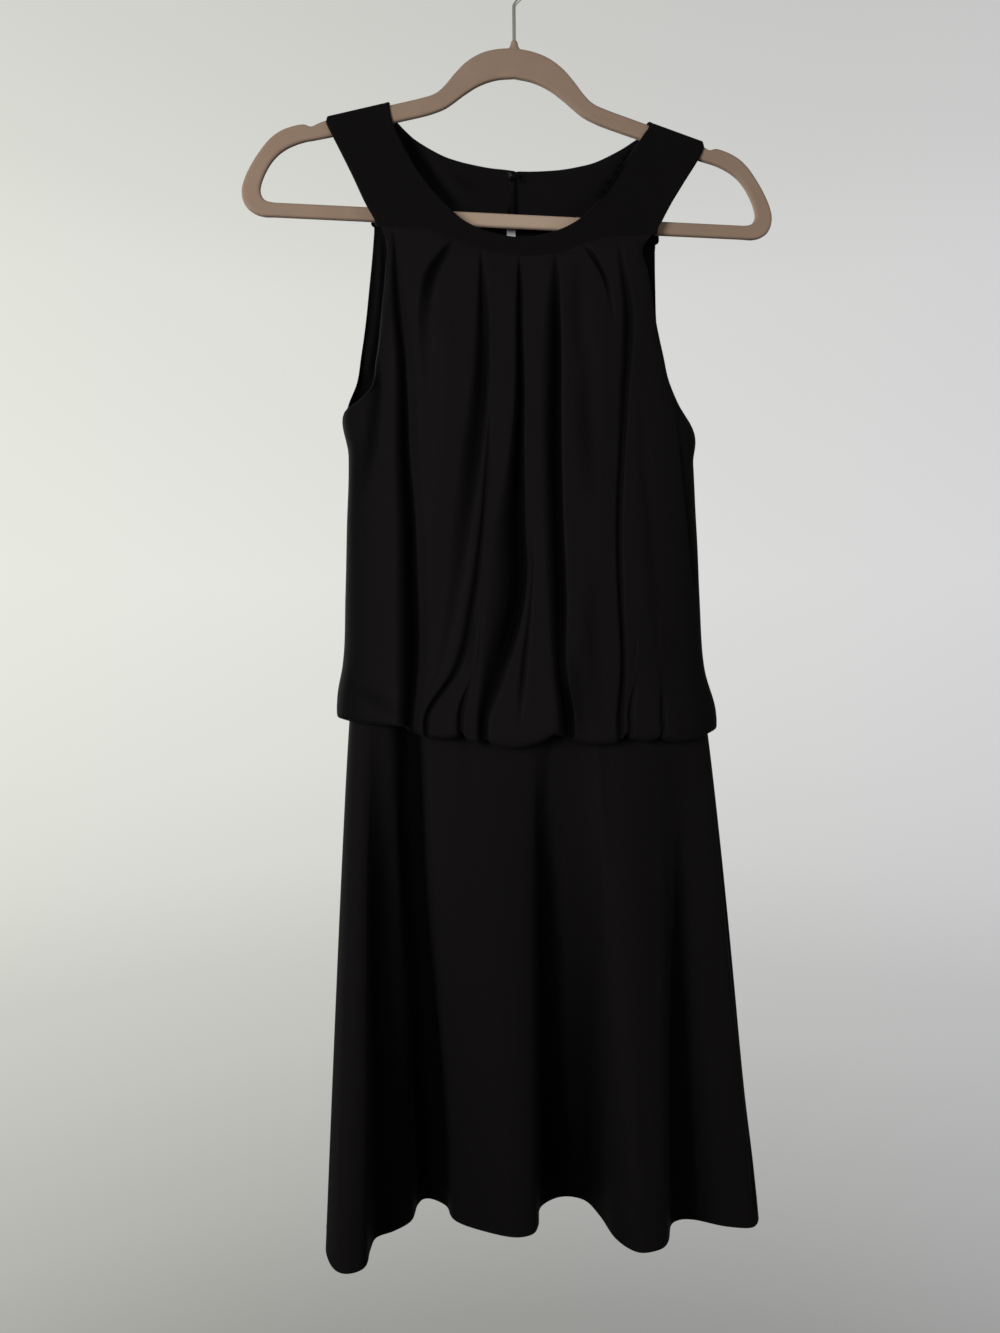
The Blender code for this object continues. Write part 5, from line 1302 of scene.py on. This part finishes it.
def make_tape(colours):
    tree, shader = new_material("white tape")
    place = cloth_place(tree)
    weave = placed(tree, "knit loops", place, Rib_width=0.00035, Loop_height=0.0005)
    fluff = placed(tree, "fluff and tone", place, Fibre_scale=2400.0, Tone_scale=160.0)
    height = maths(tree, "MULTIPLY_ADD", fluff["Fibre"], 0.4, weave["Height"])
    inputs = {
        "Base Color": blend(tree, fluff["Tone"], darker(colours.tape, 0.86), colours.tape),
        "Roughness": shifted(tree, weave["Gap"], 0.78, 0.06),
        "Normal": bump(tree, height, 0.5, 0.0001),
        "Specular IOR Level": 0.3,
    }
    feed(tree, shader, inputs)


def make_thread(colours):
    tree, shader = new_material("black thread")
    fluff = placed(tree, "fluff and tone", object_place(tree), Fibre_scale=5200.0, Tone_scale=400.0)
    inputs = {
        "Base Color": blend(tree, fluff["Fibre"], darker(colours.thread, 0.6), colours.thread),
        "Roughness": shifted(tree, fluff["Tone"], 0.5, 0.08),
        "Normal": bump(tree, fluff["Fibre"], 0.3, 0.00005),
        "Specular IOR Level": 0.02,
    }
    feed(tree, shader, inputs)


def make_backdrop(colours):
    """A glowing backdrop, brightest at the object's height and a little darker to the right."""
    tree, shader = new_material("pale backdrop")
    centre = (0.0, 0.0, -BOWL_MIDDLE_Z)
    centred = node(tree, "ShaderNodeMapping", {"Vector": object_place(tree), "Location": centre}).outputs[0]
    heading = node(tree, "ShaderNodeVectorMath", {0: centred}, operation="NORMALIZE").outputs[0]
    parts = node(tree, "ShaderNodeSeparateXYZ", {0: heading}).outputs
    side, height = (maths(tree, "MULTIPLY_ADD", parts[axis], 0.5, 0.5) for axis in (0, 2))
    ramp = node(tree, "ShaderNodeValToRGB", {0: height})
    steps = ramp.color_ramp.elements
    while len(steps) < len(BACKDROP_GLOW):
        steps.new(0.5)
    for step, (at, glow) in zip(steps, BACKDROP_GLOW):
        step.position = at
        step.color = (glow, glow, glow, 1.0)
    toned = blend(tree, side, colours.backdrop_left, colours.backdrop_right)
    lit = node(tree, "ShaderNodeVectorMath", {0: toned, 1: ramp.outputs[0]}, operation="MULTIPLY").outputs[0]
    inputs = {
        "Emission Color": lit,
        "Emission Strength": 1.0,
        "Base Color": (0.0, 0.0, 0.0, 1.0),
        "Specular IOR Level": 0.0,
        "Roughness": 1.0,
    }
    feed(tree, shader, inputs)
    bpy.data.materials["pale backdrop"].cycles.emission_sampling = "NONE"


# Stitches

THREAD_SEGMENTS, THREAD_RINGS = 8, 5
HEM_LIFT, SEAM_LIFT = 0.02, 0.05  # how far the threads' middle lies over the cloth
SEAM_STITCH_ROW = -6  # row of the front yoke's grid that is sewn
STITCH_MARGIN = 2  # columns left free at a sewn line's ends


def stitch_tree():
    """Geometry Nodes tree that lays one short thread after another along a path."""
    tree = bpy.data.node_groups.new("row of stitches", "GeometryNodeTree")
    kinds = {"Geometry": "NodeSocketGeometry", "Pitch": FLOAT, "Length": FLOAT, "Thread": FLOAT}
    for label, kind in (kinds | {"Finish": "NodeSocketMaterial"}).items():
        tree.interface.new_socket(label, in_out="INPUT", socket_type=kind)
    tree.interface.new_socket("Geometry", in_out="OUTPUT", socket_type="NodeSocketGeometry")
    given, result = tree.nodes.new("NodeGroupInput").outputs, tree.nodes.new("NodeGroupOutput")
    curve = node(tree, "GeometryNodeMeshToCurve", {"Mesh": given["Geometry"]}).outputs[0]
    spacing = {"Curve": curve, "Length": given["Pitch"]}
    places = node(tree, "GeometryNodeResampleCurve", spacing, mode="LENGTH").outputs[0]
    heading = node(tree, "GeometryNodeInputTangent").outputs[0]
    turned = node(tree, "FunctionNodeAlignRotationToVector", {"Vector": heading}, axis="X").outputs[0]
    lengths = {0: given["Length"], 1: given["Thread"], 2: given["Thread"]}
    size = node(tree, "ShaderNodeCombineXYZ", lengths).outputs[0]
    ball = {"Radius": 0.5, "Segments": THREAD_SEGMENTS, "Rings": THREAD_RINGS}
    thread = node(tree, "GeometryNodeMeshUVSphere", ball).outputs[0]
    thread = node(tree, "GeometryNodeSetShadeSmooth", {0: thread}).outputs[0]
    laying = {"Points": places, "Instance": thread, "Rotation": turned, "Scale": size}
    laid = node(tree, "GeometryNodeInstanceOnPoints", laying).outputs[0]
    whole = node(tree, "GeometryNodeRealizeInstances", {0: laid}).outputs[0]
    finishing = {"Geometry": whole, "Material": given["Finish"]}
    feed(tree, result, {0: node(tree, "GeometryNodeSetMaterial", finishing).outputs[0]})
    return tree


def socket_name(tree, label):
    """Identifier of a tree's input."""
    for item in tree.interface.items_tree:
        if item.item_type == "SOCKET" and item.in_out == "INPUT" and item.name == label:
            return item.identifier
    raise KeyError(label)


def sew(name, paths, pitch, length, thread):
    """One object with a row of stitches along each path of points in millimetres."""
    points, edges = [], []
    for path in paths:
        edges += [(len(points) + n, len(points) + n + 1) for n in range(len(path) - 1)]
        points += (path * MM).tolist()
    mesh = bpy.data.meshes.new(name)
    mesh.from_pydata(points, edges, [])
    piece = link(name, mesh)
    tree = bpy.data.node_groups.get("row of stitches") or stitch_tree()
    rows = piece.modifiers.new("stitches", "NODES")
    rows.node_group = tree
    finish = bpy.data.materials["black thread"]
    for label, value in (("Pitch", pitch), ("Length", length), ("Thread", thread), ("Finish", finish)):
        rows[socket_name(tree, label)] = value
    depsgraph = bpy.context.evaluated_depsgraph_get()
    plain = bpy.data.meshes.new_from_object(piece.evaluated_get(depsgraph), depsgraph=depsgraph)
    piece.modifiers.clear()
    piece.data = plain
    bpy.data.meshes.remove(mesh)
    plain.name = name
    return piece


def stitch_paths(hem_depth):
    """Every sewn line, by the name of the object that holds it."""
    hem = []
    for grid, normals, ridge in skirt_panels().values():
        down = grid[:, :, 2].mean(axis=1)
        row = int(np.argmin(np.abs(down - (down[-1] + hem_depth))))
        line = grid[row] + normals[row] * (ridge[row] + HEM_LIFT)
        hem.append(line[STITCH_MARGIN:-STITCH_MARGIN])
    grid, lift, on_seam = front_yoke_grid()
    grid = lifted(grid, lift, [], [], 0.0)
    line = grid[SEAM_STITCH_ROW, :, :3] + grid_normals(grid)[SEAM_STITCH_ROW] * SEAM_LIFT
    return {"hem_stitches": hem, "yoke_seam_stitches": [line[on_seam][STITCH_MARGIN:-STITCH_MARGIN]]}


# Stage

BOWL_ROWS, BOWL_SIDES, BOWL_MIDDLE_Z = 48, 96, -0.6
FLOOR_FALL = 0.02  # how much the floor falls away under the bowl's own depth
# name, place, what it points at, size and power
LIGHTS = [
    ("key", (-1.1, -1.35, -0.35), (0.0, 0.0, -0.5), 0.8, 31.0),
    ("left", (-2.2, -0.5, -0.4), (0.0, 0.0, -0.5), 1.2, 8.0),
    ("fill", (1.5, -1.5, -0.3), (0.0, 0.0, -0.5), 1.4, 13.0),
    ("front", (0.0, -3.0, -0.5), (0.0, 0.0, -0.6), 2.2, 4.0),
    ("back", (-1.5, 1.1, -0.2), (0.0, 0.0, -0.6), 1.1, 32.0),
]
CAMERA_PLACE = (-0.12434514, -0.83090537, -0.59760807)
CAMERA_YAW, CAMERA_ROLL = math.radians(7.4), math.radians(0.5)
CAMERA_LENS, CAMERA_SENSOR = 27.276819, 36
CAMERA_REACH = 50


def make_backdrop_bowl(radius, drop):
    """A pale bowl that is floor below and backdrop all round."""
    angle = np.linspace(0, math.pi, BOWL_ROWS + 1)[:, None]
    turn = full_turn(BOWL_SIDES)
    height = BOWL_MIDDLE_Z - radius * np.cos(angle)
    height = np.where(height < -drop, -drop - FLOOR_FALL * (-drop - height), height)
    out = radius * np.sin(angle)
    points = np.dstack(np.broadcast_arrays(out * np.cos(turn), out * np.sin(turn), height)) / MM
    rings = np.arange(points.size // 3).reshape(points.shape[:2])
    faces = [face[::-1] for face in band_faces(rings)]
    bowl = add_mesh("backdrop", points.reshape(-1, 3), faces, "pale backdrop")
    bowl.visible_diffuse = False
    return bowl


def placed_at(place, *axes):
    """Matrix of something at a place, turned to three axes."""
    turn = Matrix(np.stack(axes, axis=1).tolist())
    return Matrix.Translation(place) @ turn.to_4x4()


def make_lights():
    for name, place, towards, size, power in LIGHTS:
        light = bpy.data.lights.new(name, "AREA")
        light.size = size
        light.energy = power
        light.shape = "DISK"
        lamp = link(name, light)
        away = unit(np.subtract(place, towards))
        level = unit(np.cross((0, 0, 1), away))
        lamp.matrix_world = placed_at(place, level, np.cross(away, level), away)
        lamp.visible_camera = False


def make_camera():
    camera = bpy.data.cameras.new("camera")
    camera.sensor_fit = "VERTICAL"
    camera.sensor_height = CAMERA_SENSOR
    camera.lens = CAMERA_LENS
    camera.clip_end = CAMERA_REACH
    body = link("camera", camera)
    forward = np.array((math.sin(CAMERA_YAW), math.cos(CAMERA_YAW), 0.0))
    level = np.array((math.cos(CAMERA_YAW), -math.sin(CAMERA_YAW), 0.0))
    up = np.array((0.0, 0.0, 1.0))
    right = math.cos(CAMERA_ROLL) * level - math.sin(CAMERA_ROLL) * up
    top = math.sin(CAMERA_ROLL) * level + math.cos(CAMERA_ROLL) * up
    body.matrix_world = placed_at(CAMERA_PLACE, right, top, -forward)
    return body


# Settings


def length_setting(name, description, value):
    return bpy.props.FloatProperty(
        name=name, description=description, default=value * MM, unit="LENGTH", min=0
    )


def colour_setting(name, description, value):
    return bpy.props.FloatVectorProperty(
        name=name, description=description, default=value, subtype="COLOR", size=3, min=0, max=1
    )


class DressSizes(bpy.types.PropertyGroup):
    """Sizes that may be changed without a new pattern."""

    stitch_pitch: length_setting("Stitch pitch", "From one stitch to the next", 2.8)
    stitch_length: length_setting("Stitch length", "Length of the thread that shows in a stitch", 2.0)
    thread: length_setting("Thread", "Thickness of the sewing thread", 0.38)
    hem_depth: length_setting("Hem depth", "How far above its edge the skirt's hem is sewn", 20.0)
    stage_radius: length_setting("Backdrop radius", "Radius of the pale backdrop", 3600.0)
    floor_drop: length_setting("Floor drop", "How far the floor lies below the hook", 2050.0)


class DressColours(bpy.types.PropertyGroup):
    """Colours of the cloth, the hanger and the stage."""

    jersey_crest: colour_setting("Jersey", "Black jersey on its crests", (0.0078, 0.0067, 0.0073))
    # painted shade: the jersey's colour in its hollows, creases, yokes and between its ribs
    jersey_painted_shade: colour_setting("Jersey in folds", "Black jersey deep in folds", (0.0004, 0.0004, 0.0005))
    flock: colour_setting("Flock", "Taupe flock of the hanger", (0.213, 0.145, 0.102))
    # paler flock: a random worn tone, and the painted highlight round the bar's middle
    flock_worn_and_lit: colour_setting("Worn flock", "Flock that hands and clothes have worn", (0.335, 0.246, 0.18))
    wire: colour_setting("Wire", "Bright steel wire", (0.31, 0.31, 0.28))
    notion: colour_setting("Hook and eye", "Blackened wire of the hook and eye", (0.007, 0.0068, 0.0066))
    tape: colour_setting("Tape", "White woven tape of the size tab", (0.56, 0.55, 0.53))
    thread: colour_setting("Thread", "Black sewing thread", (0.0045, 0.004, 0.0044))
    # the backdrop's painted glow, lighter on the left and darker on the right
    backdrop_left: colour_setting("Backdrop left", "Pale backdrop on the left", (0.878, 0.892, 0.786))
    backdrop_right: colour_setting("Backdrop right", "Pale backdrop on the right", (0.635, 0.631, 0.66))


def dressed(piece, nodes=()):
    """Attaches a finished piece to the frame's body and hides the nodes that it stands for."""
    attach(piece, BODY)
    if nodes:
        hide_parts(*nodes)


def cut(piece, node_name):
    dressed(piece, [node_name])


# Operators


class DRESS_OT_materials(bpy.types.Operator):
    """Makes the finishes that every piece uses"""

    bl_idname = "dress.materials"
    bl_label = "Finishes"

    def execute(self, context):
        knit_group()
        fluff_group()
        for make in (make_jersey, make_flock, make_wires, make_tape, make_thread, make_backdrop):
            make(context.scene.dress_colours)
        return {"FINISHED"}


class DRESS_OT_hanger(bpy.types.Operator):
    """Makes the flocked hanger with its wire hook"""

    bl_idname = "dress.hanger"
    bl_label = "Hanger"

    def execute(self, context):
        dressed(make_hanger_frame(), ["hanger_frame"])
        dressed(make_hanger_hook(), ["hanger_hook"])
        return {"FINISHED"}


class DRESS_OT_yokes(bpy.types.Operator):
    """Makes the front yoke and both halves of the back yoke"""

    bl_idname = "dress.yokes"
    bl_label = "Yokes"

    def execute(self, context):
        cut(make_front_yoke(), "front_yoke")
        for side, name in SIDES.items():
            cut(make_back_yoke(side), f"back_yoke_{name}")
        return {"FINISHED"}


class DRESS_OT_bodice(bpy.types.Operator):
    """Makes the pleated front and both halves of the back"""

    bl_idname = "dress.bodice"
    bl_label = "Bodice"

    def execute(self, context):
        cut(make_front_bodice(), "front_bodice")
        halves = make_back_bodices()
        for side, name in SIDES.items():
            cut(halves[side], f"back_bodice_{name}")
        return {"FINISHED"}


class DRESS_OT_skirt(bpy.types.Operator):
    """Makes the flared skirt's front and back"""

    bl_idname = "dress.skirt"
    bl_label = "Skirt"

    def execute(self, context):
        cut(make_skirt_panel("front"), "front_skirt")
        cut(make_skirt_panel("back"), "back_skirt")
        return {"FINISHED"}


class DRESS_OT_notions(bpy.types.Operator):
    """Makes the hook and eye and the bare size tab"""

    bl_idname = "dress.notions"
    bl_label = "Hook, eye and tab"

    def execute(self, context):
        dressed(make_notion("wire_neck_hook", HOOK_RINGS, HOOK_RUN), ["neck_hook"])
        dressed(make_notion("wire_neck_eye", EYE_RINGS, EYE_RUN), ["neck_eye"])
        dressed(make_size_tab(), ["size_tab"])
        return {"FINISHED"}


class DRESS_OT_stitches(bpy.types.Operator):
    """Sews the yoke seam and the hem"""

    bl_idname = "dress.stitches"
    bl_label = "Stitches"

    def execute(self, context):
        sizes = context.scene.dress_sizes
        for name, paths in stitch_paths(sizes.hem_depth / MM).items():
            piece = sew(name, paths, sizes.stitch_pitch, sizes.stitch_length, sizes.thread)
            dressed(piece)
        return {"FINISHED"}


class DRESS_OT_stage(bpy.types.Operator):
    """Makes the pale backdrop, the soft lights and the camera"""

    bl_idname = "dress.stage"
    bl_label = "Stage"

    def execute(self, context):
        sizes = context.scene.dress_sizes
        make_backdrop_bowl(sizes.stage_radius, sizes.floor_drop)
        make_lights()
        context.scene.camera = make_camera()
        context.scene.view_settings.view_transform = "Standard"
        return {"FINISHED"}


class DRESS_PT_panel(bpy.types.Panel):
    """Lists the dress's sizes, its colours and its pieces"""

    bl_idname = "DRESS_PT_panel"
    bl_label = "Cocktail dress"
    bl_space_type = "VIEW_3D"
    bl_region_type = "UI"
    bl_category = "Dress"

    def draw(self, context):
        layout = self.layout
        for settings in (context.scene.dress_sizes, context.scene.dress_colours):
            for name in settings.bl_rna.properties.keys():
                if name not in ("rna_type", "name"):
                    layout.prop(settings, name)
        for operator in OPERATORS:
            layout.operator(operator.bl_idname)


OPERATORS = (
    DRESS_OT_materials,
    DRESS_OT_hanger,
    DRESS_OT_yokes,
    DRESS_OT_bodice,
    DRESS_OT_skirt,
    DRESS_OT_notions,
    DRESS_OT_stitches,
    DRESS_OT_stage,
)
CLASSES = (DressSizes, DressColours, *OPERATORS, DRESS_PT_panel)


def register():
    for each in CLASSES:
        bpy.utils.register_class(each)
    bpy.types.Scene.dress_sizes = bpy.props.PointerProperty(type=DressSizes)
    bpy.types.Scene.dress_colours = bpy.props.PointerProperty(type=DressColours)


def unregister():
    del bpy.types.Scene.dress_colours
    del bpy.types.Scene.dress_sizes
    for each in reversed(CLASSES):
        bpy.utils.unregister_class(each)


def main():
    register()
    for operator in OPERATORS:
        group_name, name = operator.bl_idname.split(".")
        getattr(getattr(bpy.ops, group_name), name)()


if __name__ == "__main__":
    main()
